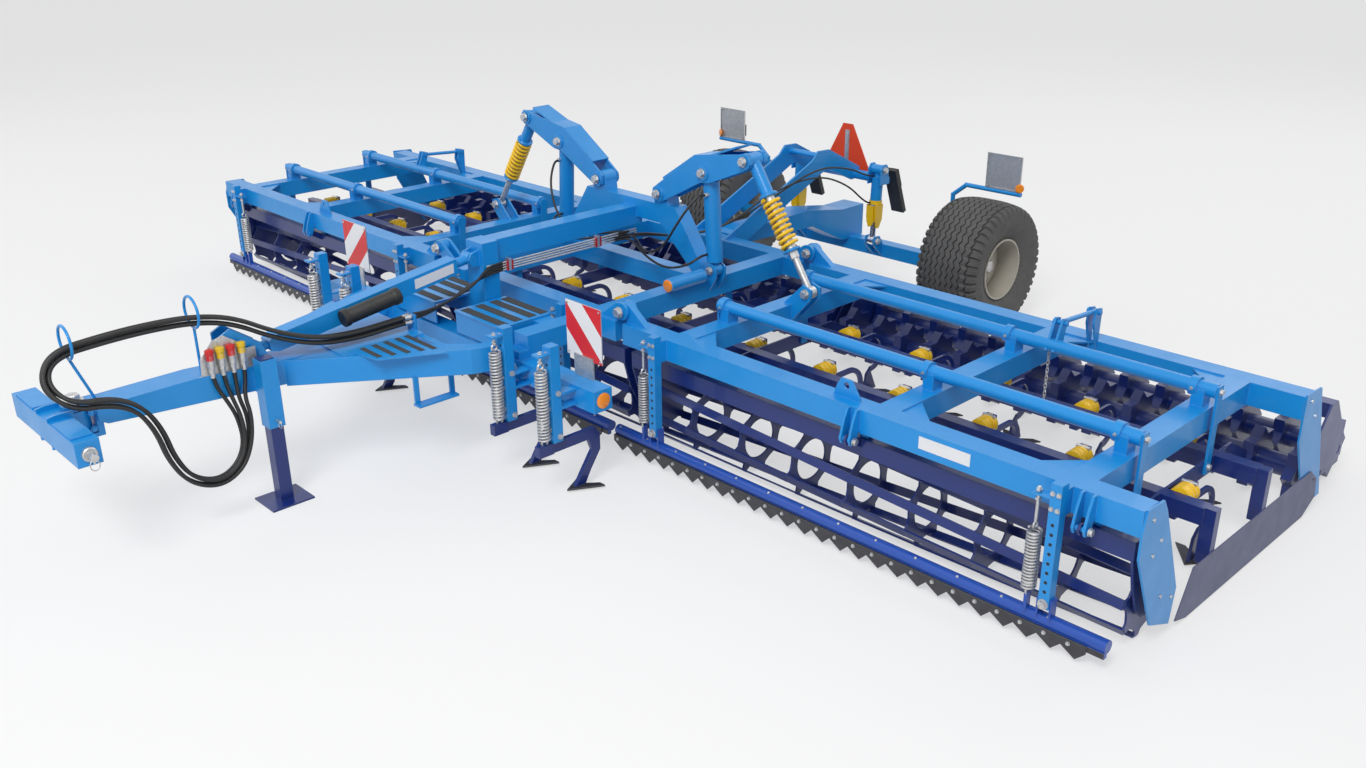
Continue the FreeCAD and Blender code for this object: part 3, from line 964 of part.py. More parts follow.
def drawbar():
    name = "drawbar"
    parts = [plate(name + "_nose", "yz", -85, 170, [
        (-1350, 590), ("nose_y + 40", 665), ("nose_y", 690), ("nose_y", 740), ("nose_y + 40", 760), (-1950, 765),
        (-1350, 730)])]
    leg = plate(name + "_leg", "xy", 590, 140, [
        (0, -1420), (85, -1500), ("draw_leg_x", -720), ("draw_leg_x + 45", -600), ("draw_leg_x + 45", "draw_hinge_y - 30"),
        ("draw_leg_x - 45", "draw_hinge_y - 30"), ("draw_leg_x - 45", -640), (0, -1230)])
    eye = rod(name + "_eye", ("draw_leg_x - 45", "draw_hinge_y", "draw_hinge_z"), "x", 45, 90)
    tongue = plate(name + "_tongue", "yz", "draw_leg_x - 45", 90, [
        (-620, 600), (-620, 730), ("draw_hinge_y - 20", 680), ("draw_hinge_y + 20", "draw_hinge_z + 40"),
        ("draw_hinge_y", "draw_hinge_z - 44"), ("draw_hinge_y - 50", "draw_hinge_z - 40")])
    bore = rod(name + "_pin_bore", ("draw_leg_x - 50", "draw_hinge_y", "draw_hinge_z"), "x", "fold_pin + bearing_gap", 100)
    parts += both_sides([cut(name + "_knuckle", fuse(name + "_knuckle_solid", [eye, tongue]), bore)])
    parts.append(leg)
    parts.append(mirrored(name + "_leg_right", leg))
    parts.append(box(name + "_tray", (-260, -1250, 726), (520, 490, 10)))
    parts.append(box(name + "_bulkhead", (110, "-771 + running_gap*2", 730), (85, 10, 95)))
    parts.append(box(name + "_tray_bar", (-560, -800, 690), (1120, 40, 38)))
    for side, x in (("a", -52), ("b", 40)):
        parts.append(plate("%s_mast_%s" % (name, side), "yz", x, 12, [
            (-1800, 740), (-1800, 930), (-1740, 960), (-1590, 850), (-1560, 770), (-1560, 700)]))
    outer = box(name + "_sleeve_out", ("jack_x - jack_leg/2 - jack_wall - bearing_gap", "jack_y - jack_leg/2 - jack_wall - bearing_gap", 430),
                ("jack_leg + jack_wall*2 + bearing_gap*2", "jack_leg + jack_wall*2 + bearing_gap*2", 370))
    inner = box(name + "_sleeve_in", ("jack_x - jack_leg/2 - bearing_gap", "jack_y - jack_leg/2 - bearing_gap", 420),
                ("jack_leg + bearing_gap*2", "jack_leg + bearing_gap*2", 400))
    parts.append(box(name + "_jack_seat", (80, "jack_y - 40", 610), (35, 80, 110)))
    beam = fuse(name + "_solid", parts + [outer])
    hoops = []
    step = fuse(name + "_step", [box(name + "_step_a", (460, -980, 440), (12, 30, 160)),
                                 box(name + "_step_b", (460, -760, 440), (12, 30, 160)),
                                 box(name + "_step_c", (450, -980, 430), (60, 250, 12))])
    for index, (y, foot) in enumerate((("hoop_front_y", "nose_y + 40"), ("hoop_rear_y", "hoop_rear_y"))):
        low = 755
        hoops.append(between("%s_hoop_%d" % (name, index), (0, foot, low - 15), (0, y, "hoop_z - hoop_round"), 7))
        ring = doc.addObject("Part::Torus", "%s_ring_%d" % (name, index))
        bind(ring, "Radius1", "hoop_round")
        ring.Radius2 = 7
        ring.Placement = Placement(Vector(), spin(Vector(0, 1, 0)))
        hoops.append(place(ring, (0, y, "hoop_z")))
    coupler = [plate(name + "_couplers", "yz", 70, 8, [
        (-1930, 740), (-1920, 850), (-1850, 930), (-1790, 945), (-1730, 900), (-1690, 850), (-1635, 850), (-1635, 740)])]
    for index, x in enumerate(HOSE_ENDS):
        coupler.append(rod("%s_socket_%d" % (name, index), ("socket_x", x, 800), "z", 18.5, 70))
    return finish(name, [fuse(name + "_all", [cut(name + "_hollow", beam, inner), hitch_fork(), step] + hoops + coupler)])


def hose(name, points):
    """Hose along straight runs joined by tangent arcs, with a round section."""
    edges, bends = [], []
    last = points[0]
    for index in range(1, len(points) - 1):
        before = points[index] - points[index - 1]
        after = points[index + 1] - points[index]
        half = before.getAngle(after)/2
        setback = 0.45*min(before.Length, after.Length)
        radius = setback/math.tan(half)
        start = points[index] - before.normalize()*setback
        end = points[index] + after.normalize()*setback
        inward = ((start + end)*0.5 - points[index]).normalize()
        edges.append(Part.LineSegment(last, start).toShape())
        edges.append(Part.Arc(start, points[index] + inward*(radius/math.cos(half) - radius), end).toShape())
        bends.append(radius)
        last = end
    edges.append(Part.LineSegment(last, points[-1]).toShape())
    wire = Part.Wire(edges)
    section = Part.Wire(Part.Circle(points[0], points[1] - points[0], value("hose_round")).toShape())
    item = doc.addObject("Part::Feature", name)
    item.Shape = wire.makePipeShell([section], True, False)
    bind(item, "Placement.Base.y", "datum_y")
    print(name, "length %.3f m," % (wire.Length/1000), "smallest bend %.0f mm" % min(bends))
    return node(name, item)


def hoses():
    """Hoses from their bracket over both hoops, down in a loop and up to the couplers."""
    route = [Vector(*point) for point in HOSE_ROUTE]
    for index, end in enumerate(HOSE_ENDS):
        points = []
        rise = end - route[-1].y
        onward = route[1:] + [Vector(125, route[-1].y + rise/2, 620)]
        for here, before, after in zip(route, [route[0]] + route[:-1], onward):
            ahead = Vector(0, after.y - before.y, after.z - before.z).normalize()
            outward = Vector(0, ahead.z, -ahead.y)
            across = outward.cross(after - before).normalize()
            points.append(here + across*(26*(index % 2) - 13) + outward*(30*(index // 2)))
        points[-1].y += 0.2*rise
        for share, x, z in ((0.55, 125, 620), (1, "socket_x", 715)):
            points.append(Vector(value(x), route[-1].y + rise*share, z))
        points.append(Vector(value("socket_x"), end, 800 - value("running_gap")))
        hose("hose_%d" % (index + 1), points)


def jack():
    name = "jack_leg"
    parts = [box(name + "_leg", ("jack_x - jack_leg/2", "jack_y - jack_leg/2", 5), ("jack_leg", "jack_leg", 800)),
             box(name + "_foot", ("jack_x - foot_wide/2", "jack_y - foot_long/2", 0), ("foot_wide", "foot_long", 10))]
    return finish(name, parts)


def hitch_bar():
    name = "hitch_bar"
    parts = [box(name + "_bar", ("-hitch_half", "yaw_y - 150", "hitch_z - 60"), ("hitch_half*2", 110, 120)),
             box(name + "_yoke", (-60, "yaw_y - 60", "hitch_z - 60"), (120, 60, 120)),
             rod(name + "_boss", (0, "yaw_y", "hitch_z - 60"), "z", 60, 120),
             rod(name + "_swivel", (0, "yaw_y", "hitch_z - 95"), "z", 25, 190),
             rod(name + "_pin_left", ("hitch_half", "yaw_y - 95", "hitch_z"), "x", "hitch_pin", "hitch_pin_long"),
             rod(name + "_pin_right", ("-hitch_half - hitch_pin_long", "yaw_y - 95", "hitch_z"), "x", "hitch_pin",
                 "hitch_pin_long")]
    return finish(name, parts)


def top_link():
    """Upper link between tower and drawbar: an outer barrel and a rod with an eye."""
    y0, z0, y1, z1 = "link_top_y", "link_top_z", "link_foot_y", "link_foot_z"
    run_text = "sqrt((link_foot_y - link_top_y)^2 + (link_foot_z - link_top_z)^2)"
    def along(reach):
        return ("%s + (%s - %s)*(%s)/%s" % (y0, y1, y0, reach, run_text),
                "%s + (%s - %s)*(%s)/%s" % (z0, z1, z0, reach, run_text))
    def piece(name, low, high, radius):
        (ya, za), (yb, zb) = along(low), along(high)
        return between(name, (0, ya, za), (0, yb, zb), radius)
    name = "link_rod"
    pin = rod(name + "_pin", (-46, y0, z0), "x", "foot_pin", 92)
    bar = finish(name, [rod(name + "_eye", (-30, y0, z0), "x", 36, 60), pin, piece(name + "_bar", 20, 860, "link_bore - running_gap")])
    name = "link_barrel"
    run = value(run_text)
    corners = []
    for reach, side in ((112, 1), (run - 120, 1), (run - 80, 0.6), (run - 80, -0.6), (run - 120, -1), (112, -1)):
        y, z = along(reach)
        corners.append(("(%s) - link_half*(%s)*(%s - %s)/%s" % (y, side, z1, z0, run_text),
                        "(%s) + link_half*(%s)*(%s - %s)/%s" % (z, side, y1, y0, run_text)))
    solid = fuse(name + "_solid", [plate(name + "_tube", "yz", "-link_half", "link_half*2", corners),
                                   piece(name + "_neck", run - 100, run, 26),
                                   rod(name + "_eye", (-30, y1, z1), "x", 38, 60)])
    sleeve = finish(name, [cut(name + "_shell", solid, piece(name + "_bore", 100, 930, "link_bore"))])
    return bar, sleeve


def looseners():
    """Track looseners in front of the middle: posts, spring tines and their coils."""
    posts, shanks, coils = [], [], []
    for index, x in enumerate(("inner_loosener_x", "outer_loosener_x")):
        label = "loosener_%d" % index
        posts.append(box(label + "_post", ("%s - 30" % x, "loosener_beam_y - 160", 330), (60, 60, 530)))
        for side, z in (("low", "loosener_beam_low + 15"), ("high", "loosener_beam_low + beam - 27")):
            posts.append(box("%s_stay_%s" % (label, side), ("%s - 30" % x, "loosener_beam_y - 100", z),
                             (60, "100 - running_gap", 12)))
        shank = fuse(label + "_shank", [
            box(label + "_arm", ("%s - 12" % x, "loosener_beam_y - 160", "329 - 60"), (24, 290, 60)),
            box(label + "_hook", ("%s - 20" % x, "loosener_beam_y - 250", "329 - 60"), (40, 93, 60)),
            plate(label + "_leg", "yz", "%s - 12" % x, 24, [
                ("loosener_beam_y + 130", 329), ("loosener_beam_y + 80", 269), ("loosener_beam_y + 105", 200),
                ("loosener_beam_y + 20", 80), ("loosener_beam_y - 20", 20), ("loosener_beam_y + 50", 20),
                ("loosener_beam_y + 90", 90), ("loosener_beam_y + 160", 190), ("loosener_beam_y + 160", 280)]),
            plate(label + "_share", "xy", "share_low", 10, [
                (x, "loosener_beam_y - 70"), ("%s + 100" % x, "loosener_beam_y + 110"),
                ("%s + 60" % x, "loosener_beam_y + 110"), (x, "loosener_beam_y + 40"),
                ("%s - 60" % x, "loosener_beam_y + 110"), ("%s - 100" % x, "loosener_beam_y + 110")])])
        shanks.append(shank)
        coils.append(rod(label + "_coil", (x, "loosener_beam_y - 200", "329 + running_gap"), "z",
                         "coil_round + 4", 420))
        coils.append(rod(label + "_bolt", (x, "loosener_beam_y - 200", 749), "z", "eyebolt_round", 70))
        posts.append(box(label + "_shelf", ("%s - 30" % x, "loosener_beam_y - 230", "819 + running_gap"), (60, 80, 10)))
    finish("loosener_posts", [fuse("loosener_posts_all", both_sides(posts))])
    finish("loosener_tines", both_sides(shanks))
    return coils


def platforms():
    name = "step_platforms"
    low = "beam_low + beam + running_gap"
    side = box(name + "_deck", (100, "loosener_beam_y + 5", low), (430, 360, 12))
    return finish(name, [fuse(name + "_all", both_sides([side]))])


def signs():
    """Striped boards in front and the triangle for slow vehicles behind."""
    name = "warning_signs"
    low = "loosener_beam_low + beam + running_gap"
    board = fuse(name + "_front", [box(name + "_board", (995, -352, 710), (280, 6, 300)),
                                   box(name + "_stem", (1060, -362, low), (150, 10, 120))])
    triangle = plate(name + "_triangle", "xz", 3190, 4, [
        (-175, 980), (-160, 960), (160, 960), (175, 980), (40, 1300), (-40, 1300)])
    stem = box(name + "_stem", (-15, "3135 + running_gap", 955), (30, 55, 20))
    stem = fuse(name + "_strap", [stem, box(name + "_upright", (-15, 3180, 955), (30, 10, 280))])
    return finish(name, both_sides([board]) + [fuse(name + "_slow", [triangle, stem])])


def document_tube():
    name = "document_tube"
    can = between(name + "_can", (98.6, -1150, 875), (98.6, -800, 926), 48)
    straps = [box("%s_strap_%d" % (name, index), ("link_half + running_gap", y, z), (20, 30, 30))
              for index, (y, z) in enumerate(((-1080, 866), (-900, 892)))]
    return finish(name, [fuse(name + "_all", [can] + straps)])


# ---------------------------------------------------------------- the whole machine
def rows(start, offsets_first, offsets_second):
    base = value(start)
    return [base + step for step in offsets_first], [base + step for step in offsets_second]


pitch = value("tine_pitch")
wing_first = [value(WING_START) + 245 + pitch*index for index in range(6)]
wing_second = [value(WING_START) + 505 + pitch*index for index in range(5)]
centre_first, centre_second = [-540, 0, 540], [-270, 270]

left = [wing_frame(),
        level_bar("wing_left_leveller", WING_START, "half_width", ("inner_post_x", "outer_post_x")),
        finish("wing_left_coils", level_springs("wing_left_coil", ("inner_post_x", "outer_post_x"))),
        tine_frame("wing_left_tines", WING_START, "half_width", wing_first, wing_second,
                   ("inner_link_x", "outer_link_x"), True),
        tine_springs("wing_left_tine_springs", wing_first, wing_second),
        roller_frames("wing_left_roller_frames", WING_START, "half_width", ("middle_long_x - 700", "outer_long_x"),
                      ("inner_ear_x", "outer_ear_x")),
        slat_roller("front_roller_left", WING_START, "half_width"),
        lug_roller("rear_roller_left", WING_START, "half_width", "rear_roller_y"),
        lug_roller("last_roller_left", WING_START, "half_width", "rear_roller_y + rear_roller_step"),
        rocker(), strut()]
left += fold_cylinder()
left += wheel("left")
for piece in left:
    other_side(piece.Label.replace("left", "right"), piece)

centre_frame()
level_bar("centre_leveller", "-(%s)" % CENTRE_HALF, CENTRE_HALF, ("-centre_post_x", "centre_post_x"))
tine_frame("centre_tines", "-(%s)" % CENTRE_HALF, CENTRE_HALF, centre_first, centre_second, (-620, 608), False)
tine_springs("centre_tine_springs", centre_first, centre_second)
roller_frames("centre_roller_frames", "-(%s)" % CENTRE_HALF, CENTRE_HALF, (-650, 650), ())
slat_roller("front_roller_centre", "-(%s)" % CENTRE_HALF, CENTRE_HALF)
lug_roller("rear_roller_centre", "-(%s)" % CENTRE_HALF, CENTRE_HALF, "rear_roller_y")
lug_roller("last_roller_centre", "-(%s)" % CENTRE_HALF, CENTRE_HALF, "rear_roller_y + rear_roller_step")
loosener_coils = looseners()
finish("centre_coils", level_springs("centre_coil", ("-centre_post_x", "centre_post_x")) + both_sides(loosener_coils))
platforms()
signs()
document_tube()
axle_frame()
lift_gear()
rear_lights()
drawbar()
hoses()
jack()
hitch_bar()
top_link()

doc.recompute()
for item in doc.Objects:
    if "Invalid" in item.State or "Error" in item.State:
        raise RuntimeError("%s is %s" % (item.Name, item.State))
os.makedirs("parts", exist_ok=True)
for item in nodes:
    if item.Shape.isNull() or not item.Shape.isValid():
        raise RuntimeError("%s has no valid shape" % item.Label)
    item.Shape.exportStep("parts/%s.step" % item.Label)
print("wrote", len(nodes), "sub-parts")
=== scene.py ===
"""Looks of the towed seedbed cultivator, laid out as an add-on that builds them piece by piece."""

import json
import math

import bmesh
import bpy
import numpy as np
from bpy.props import FloatProperty, FloatVectorProperty, PointerProperty
from mathutils import Matrix, Vector

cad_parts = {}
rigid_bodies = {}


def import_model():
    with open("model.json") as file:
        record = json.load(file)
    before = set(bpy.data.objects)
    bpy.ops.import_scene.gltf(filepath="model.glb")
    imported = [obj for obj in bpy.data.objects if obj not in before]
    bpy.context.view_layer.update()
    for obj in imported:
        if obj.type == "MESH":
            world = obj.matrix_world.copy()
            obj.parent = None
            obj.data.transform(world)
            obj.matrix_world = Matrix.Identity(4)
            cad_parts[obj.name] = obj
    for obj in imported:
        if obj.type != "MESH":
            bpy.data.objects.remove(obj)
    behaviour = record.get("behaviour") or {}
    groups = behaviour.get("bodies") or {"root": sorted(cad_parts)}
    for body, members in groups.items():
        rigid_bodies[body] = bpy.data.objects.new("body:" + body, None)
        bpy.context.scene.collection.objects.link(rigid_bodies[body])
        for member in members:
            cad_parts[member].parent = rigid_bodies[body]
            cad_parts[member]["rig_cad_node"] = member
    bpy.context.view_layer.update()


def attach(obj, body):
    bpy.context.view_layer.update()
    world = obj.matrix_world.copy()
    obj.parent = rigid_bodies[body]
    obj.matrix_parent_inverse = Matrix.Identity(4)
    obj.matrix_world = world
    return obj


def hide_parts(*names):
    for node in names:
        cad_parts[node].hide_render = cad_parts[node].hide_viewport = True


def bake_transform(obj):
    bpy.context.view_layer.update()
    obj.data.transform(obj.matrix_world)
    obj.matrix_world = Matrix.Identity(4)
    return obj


bl_info = {
    "name": "Seedbed Cultivator Looks",
    "version": (1, 0, 0),
    "blender": (4, 5, 0),
    "location": "View3D > Sidebar > Cultivator",
    "description": "Builds the looks of a towed seedbed cultivator round its packed CAD parts",
    "category": "Add Mesh",
}

# y of the row's frame on the levelling line, which the machine's own coordinates start from
DATUM = -0.511
# width of a red and a white stripe together, and of the rounded look of painted edges, in metres
STRIPE_PERIOD, EDGE_RADIUS = 0.285, 0.004
# edges turning by more than this stay sharp; points nearer than this are one
SHARP, SAME_PLACE = math.radians(35), 1e-5
# middle of the left wheel
WHEEL_X, WHEEL_Y, WHEEL_Z = 1.2, 3.22, 0.462
# places of the colours among the sockets of a Mix node
MIX_A, MIX_B, MIX_COLOR = 6, 7, 2


class CultivatorStageSettings(bpy.types.PropertyGroup):
    """Camera and light of the stage."""
    place: FloatVectorProperty(name="Camera", description="Where the camera stands",
                               default=(5.769, -4.102 + DATUM, 3.038), unit="LENGTH")
    azimuth: FloatProperty(name="Azimuth", description="Turn of the view from straight back",
                           default=math.radians(46.105), unit="ROTATION")
    elevation: FloatProperty(name="Elevation", description="Tilt of the view down",
                             default=math.radians(22.603), unit="ROTATION")
    roll: FloatProperty(name="Roll", description="Turn of the picture", default=math.radians(-0.502),
                        unit="ROTATION")
    lens: FloatProperty(name="Lens", description="Focal length on a 36 mm wide sensor", default=32.258,
                        unit="CAMERA")
    key_power: FloatProperty(name="Key", description="Power of the main lamp", default=1200, unit="POWER")
    fill_power: FloatProperty(name="Fill", description="Power of the lamp on the shadow side", default=250,
                              unit="POWER")
    back_power: FloatProperty(name="Back", description="Power of the lamp behind", default=250, unit="POWER")
    sky_strength: FloatProperty(name="Sky", description="Strength of the light from all round", default=0.5,
                                min=0)


def color_property(name, default):
    """A colour that the panel shows."""
    return FloatVectorProperty(name=name, description="Colour of the " + name.lower(), default=default,
                               size=4, min=0, max=1, subtype="COLOR")


class CultivatorPaintSettings(bpy.types.PropertyGroup):
    """Colours of the paints."""
    frame: color_property("Frame paint", (0.004, 0.27, 0.7, 1))
    # lighter than the tool paint: painted sunlight on the levelling bar
    bars: color_property("Levelling bar paint", (0.01, 0.075, 0.42, 1))
    tools: color_property("Tool paint", (0.004, 0.022, 0.17, 1))
    shields: color_property("Shield paint", (0.12, 0.13, 0.24, 1))
    springs: color_property("Spring paint", (0.95, 0.58, 0.004, 1))
    rims: color_property("Rim paint", (0.5, 0.47, 0.4, 1))
    tyres: color_property("Tyre rubber", (0.12, 0.118, 0.115, 1))


class CultivatorSizeSettings(bpy.types.PropertyGroup):
    """Sizes of the springs, hoses, tooth bolts and tread."""
    level_coil: FloatProperty(name="Levelling coil",
                              description="Outer radius of the levelling bar's springs", default=0.034,
                              unit="LENGTH")
    loosener_coil: FloatProperty(name="Loosener coil", description="Outer radius of the loosener's springs",
                                 default=0.035, unit="LENGTH")
    hose: FloatProperty(name="Hose", description="Radius of the four long hoses", default=0.0105,
                        unit="LENGTH")
    tooth_pitch: FloatProperty(name="Tooth pitch", description="Distance between the levelling bar's teeth",
                               default=0.113, unit="LENGTH")
    groove: FloatProperty(name="Groove", description="Depth of the tread's grooves", default=0.014,
                          unit="LENGTH")


def edges(nodes, links, shader, tint, color, edge_wear_and_highlight):
    """Rounds the look of sharp edges, and lightens the paint where the rounded and the flat normal part: rubbed
    bare metal on the tooth steel, and a painted highlight along the edges of the fresh paints.
    """
    soft = nodes.new("ShaderNodeBevel")
    soft.samples = 4
    soft.inputs["Radius"].default_value = EDGE_RADIUS
    flat = nodes.new("ShaderNodeNewGeometry")
    dot = nodes.new("ShaderNodeVectorMath")
    dot.operation = "DOT_PRODUCT"
    links.new(soft.outputs["Normal"], dot.inputs[0])
    links.new(flat.outputs["Normal"], dot.inputs[1])
    rim = nodes.new("ShaderNodeMapRange")
    for socket, number in (("From Min", 0.99), ("From Max", 0.75), ("To Min", 0.0), ("To Max", edge_wear_and_highlight)):
        rim.inputs[socket].default_value = number
    links.new(dot.outputs["Value"], rim.inputs["Value"])
    # lighter edge colour: a painted highlight on the fresh paints, rubbed bare metal on the tooth steel
    worn_or_lit_edge = nodes.new("ShaderNodeMix")
    worn_or_lit_edge.data_type = "RGBA"
    worn_or_lit_edge.inputs[MIX_B].default_value = tuple(0.45*c + 0.35 for c in color[:3]) + (1,)
    links.new(rim.outputs["Result"], worn_or_lit_edge.inputs[0])
    links.new(tint.outputs[MIX_COLOR], worn_or_lit_edge.inputs[MIX_A])
    links.new(worn_or_lit_edge.outputs[MIX_COLOR], shader.inputs["Base Color"])
    return soft


def material(name, color, rough=0.45, metal=0.0, dirt=0.25, scale=9.0, coat=0.0, bump=0.06, grain=420.0,
             edge_wear_and_highlight=0.0, spangle=0.0):
    """Surface whose colour and roughness wander with a noise in object space, over a fine bump.

    An edge value above 0 rounds its edges and lightens them, which is rubbed bare metal on steel and a painted
    highlight on fresh paint; spangle above 0 adds the crystals of hot zinc.
    """
    made = bpy.data.materials.get(name)
    if made:
        return made
    made = bpy.data.materials.new(name)
    made.use_nodes = True
    nodes, links = made.node_tree.nodes, made.node_tree.links
    shader = nodes["Principled BSDF"]
    place = nodes.new("ShaderNodeTexCoord")
    noise = nodes.new("ShaderNodeTexNoise")
    noise.inputs["Scale"].default_value = scale
    noise.inputs["Detail"].default_value = 6.0
    links.new(place.outputs["Object"], noise.inputs["Vector"])
    tint = nodes.new("ShaderNodeMix")
    tint.data_type = "RGBA"
    tint.inputs[MIX_A].default_value = color
    tint.inputs[MIX_B].default_value = tuple(c*(1 - dirt) for c in color[:3]) + (1,)
    links.new(noise.outputs["Fac"], tint.inputs[0])
    links.new(tint.outputs[MIX_COLOR], shader.inputs["Base Color"])
    sheen = nodes.new("ShaderNodeMapRange")
    sheen.inputs["To Min"].default_value = rough - 0.08
    sheen.inputs["To Max"].default_value = rough + 0.12
    links.new(noise.outputs["Fac"], sheen.inputs["Value"])
    links.new(sheen.outputs["Result"], shader.inputs["Roughness"])
    fine = nodes.new("ShaderNodeTexNoise")
    fine.inputs["Scale"].default_value = grain
    links.new(place.outputs["Object"], fine.inputs["Vector"])
    skin = nodes.new("ShaderNodeBump")
    skin.inputs["Strength"].default_value = bump
    skin.inputs["Distance"].default_value = 0.002
    links.new(fine.outputs["Fac"], skin.inputs["Height"])
    links.new(skin.outputs["Normal"], shader.inputs["Normal"])
    # lighter edges: painted highlight on fresh paint, rubbed bare metal on steel
    if edge_wear_and_highlight:
        links.new(edges(nodes, links, shader, tint, color, edge_wear_and_highlight).outputs["Normal"], skin.inputs["Normal"])
    if spangle:
        cells = nodes.new("ShaderNodeTexVoronoi")
        cells.inputs["Scale"].default_value = 85.0
        links.new(place.outputs["Object"], cells.inputs["Vector"])
        flakes = nodes.new("ShaderNodeMix")
        flakes.data_type, flakes.blend_type = "RGBA", "OVERLAY"
        flakes.inputs[0].default_value = spangle
        links.new(tint.outputs[MIX_COLOR], flakes.inputs[MIX_A])
        links.new(cells.outputs["Color"], flakes.inputs[MIX_B])
        dull = nodes.new("ShaderNodeHueSaturation")
        dull.inputs["Saturation"].default_value = 0.08
        links.new(flakes.outputs[MIX_COLOR], dull.inputs["Color"])
        links.new(dull.outputs["Color"], shader.inputs["Base Color"])
    shader.inputs["Metallic"].default_value = metal
    shader.inputs["Coat Weight"].default_value = coat
    return made


# finish: name of the material, its colour or the setting that holds it, and how it differs from plain
FINISHES = {
    # the edge values of the paints below paint a highlight along their edges; on the tooth steel they stand for
    # rubbed bare metal
    "blue": ("Frame paint", "frame", dict(rough=0.36, dirt=0.12, coat=0.15, edge_wear_and_highlight=0.3)),
    "tool_blue": ("Tool paint", "tools", dict(rough=0.34, dirt=0.2, coat=0.2, edge_wear_and_highlight=0.12)),
    # the tool blue written lighter, as painted sunlight on the levelling bar
    "sunlit_tool_blue": ("Levelling bar paint", "bars", dict(rough=0.34, dirt=0.15, coat=0.2, edge_wear_and_highlight=0.15)),
    "orange": ("Slow vehicle plate", (0.8, 0.06, 0.01, 1), dict(rough=0.4, dirt=0.1)),
    "amber": ("Amber reflector", (0.95, 0.28, 0.01, 1), dict(rough=0.15, dirt=0.05, coat=0.6)),
    "red": ("Red lens", (0.5, 0.01, 0.01, 1), dict(rough=0.2, dirt=0.1, coat=0.5)),
    # dark colour: painted shade in the perforations of the deck strips and in the openings of the steps
    "grip": ("Grip strip", (0.05, 0.055, 0.06, 1), dict(rough=0.9, dirt=0.4, scale=90)),
    "plain_plate": ("Bare plate", (0.75, 0.76, 0.78, 1), dict(rough=0.35, dirt=0.06)),
    "slate": ("Shield paint", "shields", dict(rough=0.5, dirt=0.3, edge_wear_and_highlight=0.15)),
    "steel": ("Tooth steel", (0.09, 0.09, 0.1, 1), dict(rough=0.45, metal=0.7, dirt=0.4, scale=20, bump=0.15,
                                                        edge_wear_and_highlight=0.3)),
    "yellow": ("Spring paint", "springs", dict(rough=0.35, dirt=0.12, coat=0.2)),
    "zinc": ("Galvanised steel", (0.55, 0.56, 0.58, 1), dict(rough=0.4, metal=0.85, dirt=0.2, scale=30,
                                                             spangle=0.18)),
    "chrome": ("Rod chrome", (0.8, 0.8, 0.82, 1), dict(rough=0.14, metal=1.0, dirt=0.05)),
    "black": ("Black plastic", (0.012, 0.012, 0.013, 1), dict(rough=0.5, dirt=0.3, bump=0.2, grain=900.0)),
    "tyre_rubber": ("Tyre rubber", "tyres", dict(rough=0.8, dirt=0.4, scale=14, bump=0.3, grain=260.0)),
    "rim_paint": ("Rim paint", "rims", dict(rough=0.45, dirt=0.2)),
    "cap_red": ("Cap 0", (0.6, 0.02, 0.02, 1), dict(rough=0.4, dirt=0.1)),
    "cap_yellow": ("Cap 1", (0.75, 0.5, 0.02, 1), dict(rough=0.4, dirt=0.1))}


def finish(key):
    """The material of a finish, made when it is first asked for."""
    if key == "stripes":
        return stripes()
    name, color, rest = FINISHES[key]
    if isinstance(color, str):
        color = tuple(getattr(bpy.context.scene.cultivator_paint, color))
    return material(name, color, **rest)


def stripes():
    """Red and white stripes down and outwards: the colour turns with the fraction of (|x| + z)/period."""
    made = bpy.data.materials.get("Warning stripes")
    if made:
        return made
    made = material("Warning stripes", (0.7, 0.015, 0.02, 1), rough=0.35, dirt=0.1)
    nodes, links = made.node_tree.nodes, made.node_tree.links
    shader = nodes["Principled BSDF"]
    parts = nodes.new("ShaderNodeSeparateXYZ")
    links.new(nodes["Texture Coordinate"].outputs["Object"], parts.inputs[0])
    value = parts.outputs["X"]
    for operation, other in (("ABSOLUTE", 0.0), ("ADD", parts.outputs["Z"]), ("DIVIDE", STRIPE_PERIOD),
                             ("FRACT", 0.0), ("LESS_THAN", 0.5)):
        step = nodes.new("ShaderNodeMath")
        step.operation = operation
        links.new(value, step.inputs[0])
        if isinstance(other, float):
            step.inputs[1].default_value = other
        else:
            links.new(other, step.inputs[1])
        value = step.outputs[0]
    mix = nodes.new("ShaderNodeMix")
    mix.data_type = "RGBA"
    mix.inputs[MIX_B].default_value = (0.8, 0.8, 0.8, 1)
    links.new(value, mix.inputs[0])
    links.new(shader.inputs["Base Color"].links[0].from_socket, mix.inputs[MIX_A])
    links.new(mix.outputs[MIX_COLOR], shader.inputs["Base Color"])
    return made


# part of a node's name, and its finish: the first row that fits counts
NODE_PAINT = (
    ("leveller", "sunlit_tool_blue"), ("tine_springs", "yellow"), ("coils", "zinc"), ("roller", "tool_blue"),
    ("tines", "tool_blue"), ("jack_leg", "tool_blue"), ("strut", "yellow"), ("tyre", "tyre_rubber"),
    ("rim", "rim_paint"), ("fold_rod", "chrome"), ("lift_rods", "chrome"), ("document_tube", "black"),
    ("hose", "black"), ("step_platforms", "blue"), ("warning_signs", "zinc"), ("rear_lights", "zinc"),
    ("", "blue"))
